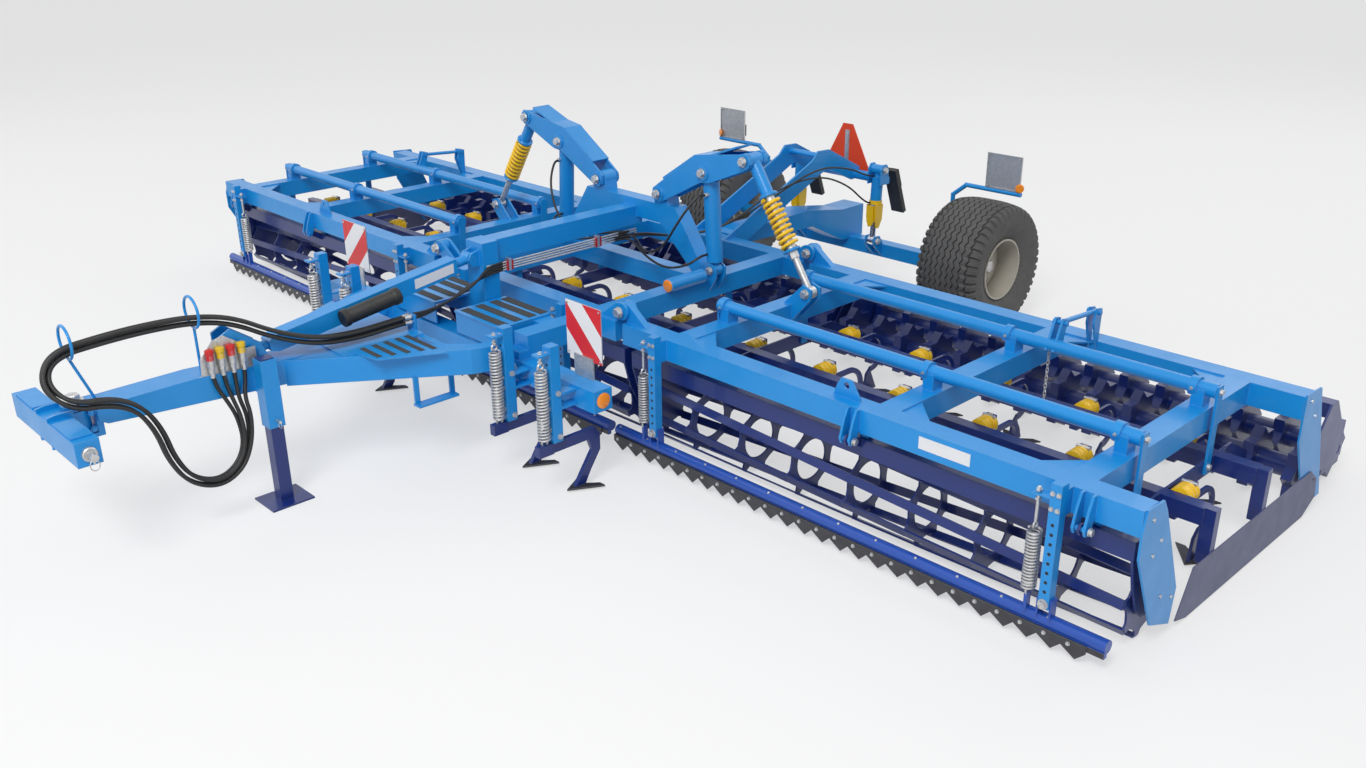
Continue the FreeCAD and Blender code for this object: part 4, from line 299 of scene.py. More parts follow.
# part of a node's name, second finish, and the box that its faces lie in, in the machine's own coordinates
FACE_PAINT = (
    ("leveller", "steel", (-9, -1, 0), (9, 0.0081, 0.1005)),
    ("warning_signs", "stripes", (-9, -0.3525, 0.711), (9, -0.3515, 1.1)),
    ("warning_signs", "orange", (-9, 3.1885, 0), (9, 3.1955, 1.4)),
    ("rear_lights", "black", (-9, 3.3045, 0), (9, 3.4, 1.2)),
    ("lift_barrels", "yellow", (-9, 3.0, 0.61), (9, 3.0434, 0.7705)),
    ("tines", "steel", (-9, -9, 0), (9, 9, 0.0225)),
    ("wing_left_tines", "slate", (3.99, -9, 0), (9, 9, 0.3)),
    ("wing_right_tines", "slate", (-9, -9, 0), (-3.99, 9, 0.3)),
    ("drawbar", "zinc", (0.0695, -1.94, 0.74), (0.116, -1.63, 0.95)),
    ("hitch_bar", "zinc", (0.4101, -9, 0), (9, 9, 9)),
    ("hitch_bar", "zinc", (-9, -9, 0), (-0.4101, 9, 9)),
    ("hitch_bar", "zinc", (-0.03, -2.54, 0.7502), (0.03, -2.48, 9)))


class CULTIVATOR_OT_paint(bpy.types.Operator):
    """Gives every CAD node its paint, and some of its faces a second one"""
    bl_idname = "cultivator.paint"
    bl_label = "Paint the CAD nodes"

    def execute(self, context):
        for item in bpy.data.objects:
            if "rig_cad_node" not in item:
                continue
            name = item["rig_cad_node"]
            paint = next(make for key, make in NODE_PAINT if key in name)
            mesh = item.data
            mesh.materials.clear()
            mesh.materials.append(finish(paint))
            index = np.zeros(len(mesh.polygons), dtype=np.int32)
            centres = np.empty(len(mesh.polygons)*3)
            mesh.polygons.foreach_get("center", centres)
            centres = centres.reshape(-1, 3) - (0, DATUM, 0)
            for key, make, low, high in FACE_PAINT:
                if key in name:
                    index[((centres > low) & (centres < high)).all(axis=1)] = len(mesh.materials)
                    mesh.materials.append(finish(make))
            mesh.polygons.foreach_set("material_index", index)
        return {"FINISHED"}


# ---------------------------------------------------------------- surfaces
def grid(points, wrap_u=False, wrap_v=False):
    """Quads over a grid of points S(u, v); a wrapped direction joins its last row to its first."""
    rows, cols = points.shape[:2]
    u = np.arange(rows if wrap_u else rows - 1)
    v = np.arange(cols if wrap_v else cols - 1)
    u, v = np.meshgrid(u, v, indexing="ij")
    after_u, after_v = (u + 1) % rows, (v + 1) % cols
    faces = np.stack([u*cols + v, u*cols + after_v, after_u*cols + after_v, after_u*cols + v], axis=-1)
    return points.reshape(-1, 3), faces.reshape(-1, 4)


def basis(axis):
    """Two unit vectors square to an axis and to each other."""
    axis = np.asarray(axis, float)/np.linalg.norm(axis)
    guess = np.array((0, 0, 1.0)) if abs(axis[2]) < 0.9 else np.array((0, 1.0, 0))
    side = np.cross(axis, guess)
    side /= np.linalg.norm(side)
    return axis, side, np.cross(axis, side)


def lathe(profile, start, axis, sides=24):
    """S(t, a) = start + axis*h(t) + r(t)*(side*cos a + up*sin a) for a profile of (h, r), with closed ends."""
    axis, side, up = basis(axis)
    profile = np.asarray(profile, float)
    poles = profile[[0, -1]]*(1, 0)
    profile = np.vstack([poles[:1], profile, poles[1:]])
    angle = np.linspace(0, 2*math.pi, sides, endpoint=False)
    ring = np.cos(angle)[:, None]*side + np.sin(angle)[:, None]*up
    points = np.asarray(start, float) + profile[:, None, :1]*axis + profile[:, None, 1:]*ring[None]
    return grid(points, wrap_v=True)


def pin(start, end, radius, sides=16, edge=0.1):
    """Closed round bar between two points with a small rounded edge."""
    start, end = np.asarray(start, float), np.asarray(end, float)
    long = np.linalg.norm(end - start)
    cut = radius*edge
    return lathe([(0, 0), (0, radius - cut), (cut, radius), (long - cut, radius), (long, radius - cut),
                  (long, 0)], start, end - start, sides)


def capped(rings, path):
    """The rings of a tube with each end drawn in to its middle, which closes it."""
    ends = np.repeat(path[[0, -1], None], rings.shape[1], axis=1)
    return np.concatenate([ends[:1], rings, ends[1:]])


def tube(path, radius, sides=10):
    """S(t, a) = P(t) + r*(N*cos a + B*sin a), with N and B square to the path's direction."""
    path = np.asarray(path, float)
    ahead = np.gradient(path, axis=0)
    ahead /= np.linalg.norm(ahead, axis=1)[:, None]
    guess = np.array((0.31, 0.22, 0.93))
    side = np.cross(ahead, guess)
    side /= np.linalg.norm(side, axis=1)[:, None]
    up = np.cross(ahead, side)
    angle = np.linspace(0, 2*math.pi, sides, endpoint=False)
    ring = np.cos(angle)[:, None]*side[:, None] + np.sin(angle)[:, None]*up[:, None]
    return grid(capped(path[:, None] + radius*ring, path), wrap_v=True)


def coil(start, end, radius, wire, turns, sides=8, steps=18):
    """Helix P(t) = start + axis*L*t + R*(side*cos wt + up*sin wt), thickened to a round wire."""
    start, end = np.asarray(start, float), np.asarray(end, float)
    axis, side, up = basis(end - start)
    t = np.linspace(0, 1, int(turns*steps))[:, None]
    angle = 2*math.pi*turns*t
    out = np.cos(angle)*side + np.sin(angle)*up
    path = start + (end - start)*t + radius*out
    ahead = np.linalg.norm(end - start)*axis + 2*math.pi*turns*radius*(np.cos(angle)*up - np.sin(angle)*side)
    ahead /= np.linalg.norm(ahead, axis=1)[:, None]
    across = np.cross(ahead, out)
    ring = np.linspace(0, 2*math.pi, sides, endpoint=False)
    round_wire = np.cos(ring)[:, None]*out[:, None] + np.sin(ring)[:, None]*across[:, None]
    return grid(capped(path[:, None] + wire*round_wire, path), wrap_v=True)


def block(low, high):
    """The six faces of a box."""
    low, high = np.asarray(low, float), np.asarray(high, float)
    corner = np.array([(i, j, k) for i in (0, 1) for j in (0, 1) for k in (0, 1)])
    faces = np.array([(0, 1, 3, 2), (4, 6, 7, 5), (0, 4, 5, 1), (2, 3, 7, 6), (0, 2, 6, 4), (1, 5, 7, 3)])
    return low + corner*(high - low), faces


def join(parts):
    """Several meshes as one."""
    counts = np.cumsum([0] + [len(points) for points, _ in parts])
    return (np.concatenate([points for points, _ in parts]),
            np.concatenate([faces + start for (_, faces), start in zip(parts, counts)]))


def repeat(part, places):
    """The same mesh at several places."""
    points, faces = part
    places = np.asarray(places, float)
    return ((places[:, None] + points[None]).reshape(-1, 3),
            (faces[None] + (np.arange(len(places))*len(points))[:, None, None]).reshape(-1, 4))


def mirror(part):
    """The mesh on the other side of the machine, with its faces turned out again."""
    points, faces = part
    return points*(-1, 1, 1), faces[:, ::-1]


def both(part):
    """The mesh on both sides of the machine."""
    return join([part, mirror(part)])


def bolt(place, axis, size=0.011):
    """Washer with a hexagon head."""
    return join([lathe([(0, 0), (0, size*1.25), (size*0.2, size*1.25), (size*0.2, 0)], place, axis, 16),
                 lathe([(0.2*size, 0), (size*0.2, size), (size*0.95, size), (size, size*0.9), (size, 0)],
                       place, axis, 6)])


def slab(outline, push):
    """Extrusion of a convex outline: its own points and the same pushed along, each closed to its middle."""
    outline, push = np.asarray(outline, float), np.asarray(push, float)
    middle = np.repeat(outline.mean(axis=0)[None], len(outline), axis=0)
    return grid(np.stack([middle, outline, outline + push, middle + push]), wrap_v=True)


def add(name, part, paint, body, smooth=True, replaces=()):
    """Makes a mesh object of a piece, moved from the machine's coordinates to the frame's."""
    points, faces = part
    mesh = bpy.data.meshes.new(name)
    mesh.vertices.add(len(points))
    mesh.vertices.foreach_set("co", (points + (0, DATUM, 0)).astype(np.float32).ravel())
    mesh.loops.add(len(faces)*4)
    mesh.loops.foreach_set("vertex_index", faces.astype(np.int32).ravel())
    mesh.polygons.add(len(faces))
    mesh.polygons.foreach_set("loop_start", np.arange(len(faces), dtype=np.int32)*4)
    mesh.update(calc_edges=True)
    shape = bmesh.new()
    shape.from_mesh(mesh)
    bmesh.ops.remove_doubles(shape, verts=shape.verts, dist=SAME_PLACE)
    bmesh.ops.recalc_face_normals(shape, faces=shape.faces)
    shape.to_mesh(mesh)
    shape.free()
    mesh.validate()
    mesh.materials.append(finish(paint))
    item = bpy.data.objects.new(name, mesh)
    bpy.context.scene.collection.objects.link(item)
    if smooth:
        mesh.shade_smooth()
        mesh.set_sharp_from_angle(angle=SHARP)
    else:
        mesh.shade_flat()
    if body:
        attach(item, body)
    if replaces:
        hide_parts(*replaces)
    return item


# ---------------------------------------------------------------- wheels
class CULTIVATOR_OT_wheels(bpy.types.Operator):
    """Builds both tyres with their tread, and the rims' bolts and hubs"""
    bl_idname = "cultivator.wheels"
    bl_label = "Build the wheels"

    def execute(self, context):
        for side, sign in (("left", 1), ("right", -1)):
            tyre = self.tyre((sign*WHEEL_X, WHEEL_Y, WHEEL_Z))
            add("Tyre_" + side, tyre, "tyre_rubber", "wheel_" + side, replaces=("tyre_" + side,))
            face = WHEEL_X + 0.052
            bolts = [bolt((face, WHEEL_Y + 0.082*math.cos(a), WHEEL_Z + 0.082*math.sin(a)), (1, 0, 0), 0.012)
                     for a in np.linspace(0, 2*math.pi, 10, endpoint=False)]
            bolts.append(lathe([(-0.01, 0.05), (0.035, 0.05), (0.05, 0.042), (0.056, 0.03), (0.056, 0)],
                               (face, WHEEL_Y, WHEEL_Z), (1, 0, 0), 32))
            bolts = join(bolts)
            add("Wheel_bolts_" + side, bolts if sign > 0 else mirror(bolts), "zinc", "wheel_" + side)
        return {"FINISHED"}

    def tyre(self, centre):
        """Section (x, r) swept round the axle; x + a*tri(n*u) bends the ribs, and blocks step the shoulders."""
        ribs, half, deep, waves = 8, 0.182, bpy.context.scene.cultivator_sizes.groove, 46
        u = np.linspace(0, 2*math.pi, waves*14, endpoint=False)[:, None]
        left = np.linspace(-half, half, ribs + 1)[:-1] + 0.0045
        right = left + 2*half/ribs - 0.009
        x = np.stack([left, left + 0.0015, right - 0.0015, right], axis=-1).ravel()
        crown = 0.462 - 0.016*(np.abs(x)/half)**3 - np.tile((deep, 0, 0, deep), ribs)
        drop = np.linspace(0, 1, 12)
        wall_x, wall_r = 0.2365 - 0.052*drop**2.6, 0.402 - 0.186*drop
        edge_x, edge_r = np.array((0.19, 0.192, 0.213, 0.228)), np.array((0.432, 0.4455, 0.438, 0.424))
        side_x, side_r = np.concatenate([edge_x, wall_x]), np.concatenate([edge_r, wall_r])
        x = np.concatenate([-side_x[::-1], x, side_x])
        r = np.concatenate([side_r[::-1], crown, side_r])
        on_tread = np.clip((0.2 - np.abs(x))*60, 0, 1)
        on_shoulder = np.clip((np.abs(x) - 0.17)*100, 0, 1)*np.clip((r - 0.385)*60, 0, 1)
        turn = u*waves/(2*math.pi)
        wave = 4*np.abs((turn % 1) - 0.5) - 1
        block = np.clip(np.abs(((turn + 0.25*np.sign(x)) % 1) - 0.5)*9 - 1.2, 0, 1)
        across = x + 0.009*wave*on_tread - 0.006*np.sign(x)*on_shoulder*(1 - block)
        radius = r - 0.017*on_shoulder*(1 - block)
        points = np.stack([across, radius*np.sin(u), radius*np.cos(u)], axis=-1)
        return grid(points + np.asarray(centre), wrap_u=True, wrap_v=True)


# ---------------------------------------------------------------- springs
class CULTIVATOR_OT_springs(bpy.types.Operator):
    """Builds the levelling, tine and strut springs"""
    bl_idname = "cultivator.springs"
    bl_label = "Build the springs"

    def execute(self, context):
        sizes = context.scene.cultivator_sizes
        levels = {"wing_left": (1.262, 3.662), "centre": (-0.48, 0.48), "wing_right": (-1.262, -3.662)}
        for body, posts in levels.items():
            parts = []
            for x in posts:
                shift = 0.087 if body == "wing_right" else -0.087
                parts += self.pull((x + shift, 0.023), 0.225, 0.525, 0.724, sizes.level_coil, 0.0055, 18)
            if body == "centre":
                for x in (0.77, 1.16, -0.77, -1.16):
                    parts += self.pull((x, -0.66), 0.33, 0.74, 0.842, sizes.loosener_coil, 0.0062, 22)
            add(body + "_coil_springs", join(parts), "zinc", body, replaces=(body + "_coils",))
        pitch = 0.525
        first = [1.18 + pitch*k for k in range(6)]
        second = [1.44 + pitch*k for k in range(5)]
        rows = {"wing_left": (first, second), "centre": ((-0.54, 0, 0.54), (-0.27, 0.27)),
                "wing_right": ([-x for x in first], [-x for x in second])}
        drum = lathe([(0.002, 0), (0.002, 0.036), (0.006, 0.049), (0.024, 0.05), (0.028, 0.044),
                      (0.033, 0.044), (0.037, 0.05), (0.054, 0.05), (0.058, 0.041), (0.062, 0.041),
                      (0.066, 0.05), (0.083, 0.05), (0.087, 0.044), (0.092, 0.044), (0.096, 0.05),
                      (0.109, 0.049), (0.113, 0.036), (0.113, 0)], (0, 0, 0), (0, 1, 0), 28)
        stud = join([bolt((0, 0.1255, 0), (0, 1, 0), 0.014),
                     pin((-0.035, 0.095, 0.043), (0.035, 0.095, 0.043), 0.009)])
        for body, (near, far) in rows.items():
            places = [(x, 0.8603, 0.4433) for x in near] + [(x, 1.4103, 0.4433) for x in far]
            add(body + "_tine_coils", repeat(drum, places), "yellow", body,
                replaces=(body + "_tine_springs",))
            add(body + "_tine_studs", repeat(stud, places), "zinc", body)
        for side, sign in (("left", 1), ("right", -1)):
            top, foot = np.array((1.02, 1.04, 1.52)), np.array((1.48, 1.04, 0.826))
            way = (foot - top)/np.linalg.norm(foot - top)
            full = np.linalg.norm(foot - top)

            def at(reach, top=top, way=way):
                return top + way*reach

            deep = np.array((0, 1, 0))
            shell = join([pin(at(0.02), at(0.225), 0.038), pin(at(0.215), at(0.235), 0.055, 28),
                          pin(at(0.56), at(0.578), 0.052, 28),
                          pin(top - deep*0.05, top + deep*0.05, 0.042, 28)])
            bars = join([pin(at(0.22), at(0.58), 0.03), pin(at(0.57), at(full - 0.03), 0.02, 20),
                         pin(at(0.575), at(0.62), 0.028, 6),
                         pin(foot - deep*0.025, foot + deep*0.025, 0.036, 28),
                         pin(top - deep*0.084, top + deep*0.084, 0.015)])
            spring = coil(at(0.245), at(0.552), 0.047, 0.0105, 9.5, sides=12, steps=32)
            if sign < 0:
                shell, bars, spring = mirror(shell), mirror(bars), mirror(spring)
            add("Strut_sleeve_" + side, shell, "blue", "strut_" + side,
                replaces=("strut_" + side,))
            add("Strut_bars_" + side, bars, "zinc", "strut_" + side)
            add("Strut_coil_" + side, spring, "yellow", "strut_" + side)
        return {"FINISHED"}

    def pull(self, place, low, high, top, radius, wire, turns):
        """Pull spring with end loops, its eyebolt and two nuts."""
        x, y = place
        a = np.linspace(0, 2*math.pi, 20)
        eye = np.stack([x + 0*a, y + 0.016*np.sin(a), high + 0.02 - 0.016*np.cos(a)], axis=-1)
        hook = np.stack([x + 0*a, y + 0.018*np.sin(a), low + 0.008 - 0.018*np.cos(a)], axis=-1)
        return [coil((x, y, low + 0.025), (x, y, high), radius - wire, wire, turns), tube(eye, wire),
                tube(hook, wire), pin((x, y, high + 0.03), (x, y, top), 0.008),
                pin((x, y, top - 0.062), (x, y, top - 0.05), 0.014, 6),
                pin((x, y, top - 0.02), (x, y, top - 0.008), 0.014, 6)]


# ---------------------------------------------------------------- hoses
HOSE_ENDS = (-1.88, -1.825, -1.77, -1.715)
HOSE_ROUTE = ((0.15, -0.771, 0.78), (0.15, -0.9, 0.778), (0.142, -1.11, 0.768), (0.132, -1.33, 0.79),
              (0.092, -1.54, 0.872), (0.05, -1.72, 0.985), (0.002, -1.895, 1.022), (0, -2.11, 1.036),
              (0, -2.32, 1.034), (0.008, -2.562, 1.02), (0.0955, -2.634, 0.931), (0.183, -2.562, 0.842),
              (0.2, -2.4, 0.83), (0.215, -2.28, 0.76), (0.225, -2.21, 0.62), (0.228, -2.18, 0.46),
              (0.226, -2.11, 0.325), (0.222, -1.985, 0.262), (0.204, -1.87, 0.3), (0.182, -1.805, 0.4),
              (0.152, -1.79, 0.53))


class CULTIVATOR_OT_hoses(bpy.types.Operator):
    """Builds the four hoses over the drawbar, with their fittings and couplers"""
    bl_idname = "cultivator.hoses"
    bl_label = "Build the hoses"

    def execute(self, context):
        for index, end in enumerate(HOSE_ENDS):
            points = self.route(index, end) + (0, DATUM, 0)
            curve = bpy.data.curves.new("Hose_%d" % (index + 1), "CURVE")
            curve.dimensions = "3D"
            curve.resolution_u = 10
            curve.bevel_depth = context.scene.cultivator_sizes.hose
            curve.bevel_resolution = 4
            line = curve.splines.new("NURBS")
            line.points.add(len(points) - 1)
            line.points.foreach_set("co", np.column_stack([points, np.ones(len(points))]).ravel())
            line.order_u = 3
            line.use_endpoint_u = True
            curve.materials.append(finish("black"))
            item = bpy.data.objects.new("Hose_%d" % (index + 1), curve)
            context.scene.collection.objects.link(item)
            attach(item, "drawbar")
            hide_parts("hose_%d" % (index + 1))
            tail = points[-1] - (0, DATUM, 0)
            start = points[0] - (0, DATUM, 0)
            up, back = np.array((0, 0, 1)), np.array((0, 1, 0))
            ferrules = [pin(tail - up*0.05, tail - up*0.0005, 0.0135),
                        pin(tail - up*0.022, tail - up*0.004, 0.016, 6),
                        pin(start, start - back*0.045, 0.0135),
                        pin(start - back*0.004, start - back*0.02, 0.016, 6)]
            ends = add("Hose_fittings_%d" % (index + 1), join(ferrules), "zinc", "drawbar")
            cap = lathe([(0, 0.0187), (0.03, 0.0187), (0.034, 0.022), (0.052, 0.022), (0.056, 0.016),
                         (0.056, 0)], (0.096, end, 0.842), (0, 0, 1), 20)
            color = ("cap_red", "cap_yellow")[index % 2]
            add("Coupler_cap_%d" % (index + 1), cap, color, "drawbar")
        return {"FINISHED"}

    def route(self, index, end):
        """Corner points of one hose: the bundle's route shifted square to its direction."""
        route = np.array(HOSE_ROUTE)
        rise = end - route[-1, 1]
        before = np.vstack([route[:1], route[:-1]])
        after = np.vstack([route[1:], [(0.125, route[-1, 1] + rise/2, 0.62)]])
        ahead = (after - before)*(0, 1, 1)
        ahead /= np.linalg.norm(ahead, axis=1)[:, None]
        outward = np.stack([0*ahead[:, 0], ahead[:, 2], -ahead[:, 1]], axis=-1)
        across = np.cross(outward, after - before)
        across /= np.linalg.norm(across, axis=1)[:, None]
        points = route + across*(0.026*(index % 2) - 0.013) + outward*(0.03*(index // 2))
        points[-1, 1] += 0.2*rise
        tail = [(0.125, route[-1, 1] + 0.55*rise, 0.62), (0.096, end, 0.715), (0.096, end, 0.7997)]
        return np.vstack([points, tail])


# ---------------------------------------------------------------- bolts
# body, place, direction and size of the bolts and pin ends of the left side; the right side has the same
BOLTS = (
    [("wing_left", (x, -0.0001, 0.212), (0, -1, 0), 0.019) for x in (1.262, 3.662)]
    + [("wing_left", (x + dx, -0.0001, z), (0, -1, 0), 0.009) for x in (1.262, 3.662) for dx in (-0.014, 0.014)
       for z in (0.655, 0.725)]
    + [("wing_left", (x + 0.039, 0.045, 0.592), (1, 0, 0), 0.016) for x in (2.565, 3.762)]
    + [("wing_left", (3.998, y, z), (1, 0, 0), 0.009)
       for y, z in ((0.16, 0.68), (0.26, 0.55), (0.34, 0.25), (0.45, 0.2), (0.2, 0.5), (1.75, 0.7), (1.83, 0.6),
                    (1.99, 0.2))]
    + [("wing_left", (3.7593, y, z), (1, 0, 0), 0.014) for y in (0.54, 1.26) for z in (0.44, 0.822)]
    + [("wing_left", (1.48, 0.9949, 0.826), (0, -1, 0), 0.024)]
    + [("wing_left", (x - 0.03, y - 0.047, 0.822), (0, -1, 0), 0.007) for x in (1.32, 2.68, 3.67)
       for y in (0.54, 1.26)]
    + [("rocker_left", place, (0, -1, 0), 0.024)
       for place in ((0.29, 0.9559, 1.21), (0.68, 0.9619, 1.4), (1.02, 0.9559, 1.52))]
    + [("centre", (0.9, y, 0.8), (0, -1, 0), 0.026) for y in (0.0939, 1.6839)]
    + [("centre", (0.72, 0.9899, 0.8), (0, -1, 0), 0.022), ("centre", (0.72, -0.53, 0.6), (1, 0, 0), 0.026),
       ("centre", (0.43, 3.1, 1.03), (1, 0, 0), 0.02), ("axle", (0.415, 3.07, 0.5), (1, 0, 0), 0.02),
       ("centre", (0.48, -0.0001, 0.212), (0, -1, 0), 0.019)]
    + [("centre", (x, -0.6201, z), (0, -1, 0), 0.012) for x in (0.77, 1.16) for z in (0.4, 0.52, 0.58, 0.82)]
    + [("centre", (x + 0.03, -0.58, z), (1, 0, 0), 0.013) for x in (0.77, 1.16) for z in (0.36, 0.6)])


class CULTIVATOR_OT_bolts(bpy.types.Operator):
    """Sets the bolts of the teeth, plates and pins"""
    bl_idname = "cultivator.bolts"
    bl_label = "Set the bolts"

    def execute(self, context):
        parts = {}
        pitch = context.scene.cultivator_sizes.tooth_pitch
        wing = [0.935 + pitch*(k + 0.3) for k in range(26)]
        rows = {"wing_left": wing, "wing_right": [-x for x in wing],
                "centre": [pitch*(k + 0.3) - 0.875 for k in range(15)]}
        for body, row in rows.items():
            small = bolt((0, 0, 0), (0, -1, 0), 0.008)
            parts[body] = [repeat(small, [(x, 0, 0.08) for x in row]),
                           repeat(bolt((0, 0, 0), (0, -0.5, 0.86), 0.005),
                                  [(x, 0.0235, 0.146) for x in row[::2]])]
        for body, place, axis, size in BOLTS:
            piece = bolt(place, axis, size)
            parts.setdefault(body, []).append(piece)
            parts.setdefault(body.replace("left", "right"), []).append(mirror(piece))
        for body, pieces in parts.items():
            add(body + "_bolts", join(pieces), "zinc", body, smooth=False)
        return {"FINISHED"}


# ---------------------------------------------------------------- fittings
def row(place):
    """A place of the machine in the frame's coordinates."""
    return tuple(np.asarray(place) + (0, DATUM, 0))


def arc(*corners, steps=26):
    """Smooth line through its corner points: a quadratic B-spline, P(t) from three corners at a time."""
    corners = np.asarray(corners, float)
    ends = np.vstack([2*corners[0] - corners[1], corners, 2*corners[-1] - corners[-2]])
    t = np.linspace(0, 1, steps, endpoint=False)[:, None]
    rows = [0.5*((1 - t)**2*a + (1 + 2*t - 2*t**2)*b + t**2*c) for a, b, c in zip(ends, ends[1:], ends[2:])]
    return np.vstack(rows)


class CULTIVATOR_OT_fittings(bpy.types.Operator):
    """Adds the boards' rims and reflectors, the anti-slip strips darkened as painted shade in their
    perforations, the bare plates, and black discs painted as the shade in the post holes
    """
    bl_idname = "cultivator.fittings"
    bl_label = "Add the plates and reflectors"

    def execute(self, context):
        lens = lathe([(0, 0.042), (0.006, 0.042), (0.009, 0.036), (0.011, 0)], (1.3302, -0.4, 0.55),
                     (1, 0, 0), 36)
        add("Reflectors", both(lens), "amber", "centre")
        board = lathe([(0, 0.03), (0.01, 0.03), (0.014, 0.025), (0.014, 0)], (1.428, 3.295, 1.03),
                      (0.5, -0.85, 0), 28)
        rims = join([block((1.158, 3.29, 1.0), (1.432, 3.2955, 1.008)),
                     block((1.158, 3.29, 1.236), (1.432, 3.2955, 1.244)),
                     block((1.1585, 3.29, 1.009), (1.164, 3.295, 1.235)),
                     block((1.426, 3.29, 1.009), (1.4315, 3.295, 1.235))])
        add("Board_reflectors", both(board), "amber", "axle")
        add("Board_rims", both(rims), "zinc", "axle", smooth=False)
        lenses = join([block((1.2, 3.3485, 1.038), (1.255, 3.3535, 1.112)),
                       block((1.335, 3.3485, 1.038), (1.38, 3.3535, 1.112))])
        add("Lamp_lenses", both(lenses), "red", "axle", smooth=False)
        # the strips' dark colour is painted shade in their perforations
        strips = [block((0.125, y, 0.7515), (0.505, y + 0.055, 0.7545)) for y in (-0.43, -0.33, -0.23, -0.15)]
        add("Grip_strips", both(join(strips)), "grip", "centre", smooth=False)
        triangle = slab([(-0.215, 3.1885, 0.985), (-0.2, 3.1885, 0.955), (0.2, 3.1885, 0.955),
                         (0.215, 3.1885, 0.985), (0.045, 3.1885, 1.305), (-0.045, 3.1885, 1.305)],
                        (0, 0.007, 0))
        add("Slow_vehicle_plate", triangle, "orange", "centre", smooth=False)
        add("Strap", block((-0.02, 3.1855, 0.99), (0.02, 3.1895, 1.26)), "zinc", "centre",
            smooth=False)
        add("Bare_plate_wing", block((2.93, 0.0885, 0.655), (3.2, 0.0899, 0.715)), "plain_plate",
            "wing_left", smooth=False)
        corners = ((-0.66, -0.028), (-0.4, -0.028), (-0.4, 0.028), (-0.66, 0.028))
        link = [(0.0466, y, 1.0 + 0.1473*(y + 0.262) + up) for y, up in corners]
        add("Bare_plate_link", slab(link, (0.0012, 0, 0)), "plain_plate", "link_barrel", smooth=False)
        # black discs painted as the shade inside the posts' holes
        shade_disc = lathe([(0, 0), (0, 0.0078), (0.0006, 0.0078), (0.0006, 0)], (0, 0, 0), (0, -1, 0), 20)
        for body, posts in (("wing_left", (1.262, 3.662)), ("wing_right", (-1.262, -3.662)),
                            ("centre", (-0.48, 0.48))):
            places = [(x, -0.0001, 0.27 + 0.045*k) for x in posts for k in range(8)]
            if body == "centre":
                places += [(x, -0.6201, z) for x in (0.77, 1.16, -0.77, -1.16)
                           for z in (0.46, 0.64, 0.68, 0.72, 0.76)]
            add(body + "_post_holes", repeat(shade_disc, places), "black", body)
        small = bolt((0, 0, 0), (0, -1, 0), 0.006)
        corners = [(x, 3.2899, z) for x in (1.174, 1.416) for z in (1.016, 1.228)]
        add("Board_bolts", both(repeat(small, corners)), "zinc", "axle")
        rivets = [(x, -0.3521, z) for x in (1.01, 1.26) for z in (0.725, 0.995)]
        add("Sign_bolts", both(repeat(bolt((0, 0, 0), (0, -1, 0), 0.005), rivets)), "zinc", "centre")
        return {"FINISHED"}


class CULTIVATOR_OT_pipes(bpy.types.Operator):
    """Fits the pipes under the top beam with their clamps, and the hoses on to the cylinders"""
    bl_idname = "cultivator.pipes"
    bl_label = "Fit the pipes and short hoses"

    def execute(self, context):
        heights = (0.905, 0.92, 0.935, 0.95)
        runs = [tube(arc((0.08, -0.1, z), (0.08, 0.1, z), (0.08, 0.5, z), (0.08, 0.82, z)), 0.0055)
                for z in heights]
        add("Pipes", join(runs), "zinc", "centre")
        clamps, straps = [], []
        for y in (-0.06, 0.62):
            for z in heights:
                clamps.append(block((0.068, y, z - 0.0065), (0.092, y + 0.045, z + 0.0065)))
            straps.append(block((0.0605, y + 0.012, 0.895), (0.094, y + 0.03, 0.9695)))
        add("Pipe_clamps", join(clamps), "red", "centre", smooth=False)
        add("Pipe_straps", join(straps), "zinc", "centre", smooth=False)
        end = 0.82
        for side, sign in (("left", 1), ("right", -1)):
            first, second = heights[:2] if sign > 0 else heights[2:]
            port = (sign*0.7, 0.985, 0.9)
            foot = tube(arc((0.08, end, first), (0.1, 0.9, first), (sign*0.28, 0.86, 0.83),
                            (sign*0.5, 0.83, 0.8), (sign*0.66, 0.86, 0.85), (sign*0.7, 0.93, 0.9), port),
                        0.0075)
            made = add("Foot_hose_" + side, foot, "black", None)
            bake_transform(made)
            port = (sign*0.7, 0.99, 1.27)
            free = tube(arc((0.08, end, second), (0.11, 0.93, second), (sign*0.3, 0.83, 0.86),
                            (sign*0.5, 0.8, 0.93), (sign*0.62, 0.83, 1.13), (sign*0.68, 0.92, 1.27), port),
                        0.0075)
            made = add("Port_hose_" + side, free, "black", None)
            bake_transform(made)
            add("Ports_" + side, join([pin((sign*0.7, 0.97, 1.27), (sign*0.7, 1.01, 1.27), 0.014, 6)]),
                "zinc", "fold_barrel_" + side)
        back = [tube(arc((0.08, end, heights[k]), (0.085, 1.0, heights[k]), (0.12 + 0.016*k, 1.3, 0.84),
                         (0.16 + 0.016*k, 1.7, 0.83), (0.2, 2.1, 0.95 + 0.05*k), (0.24, 2.55, 1.11 - 0.05*k),
                         (0.28, 2.85, 1.07 - 0.12*k), (0.345, 2.99, 1.0 - 0.2*k),
                         (0.36, 3.06, 0.985 - 0.2*k)), 0.0065) for k in range(2)]
        add("Lift_hoses", join(back), "black", "centre")
        front = [tube(arc((0.08, -0.1, z), (0.094, -0.2, z), (0.1 + 0.012*k, -0.33, 0.88), (0.12, -0.5, 0.82),
                          (0.14, -0.66, 0.79 + 0.006*k), (0.14, -0.7505, 0.785 + 0.01*k)), 0.0072)
                 for k, z in enumerate(heights)]
        made = add("Front_hoses", join(front), "black", None)
        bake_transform(made)
        return {"FINISHED"}


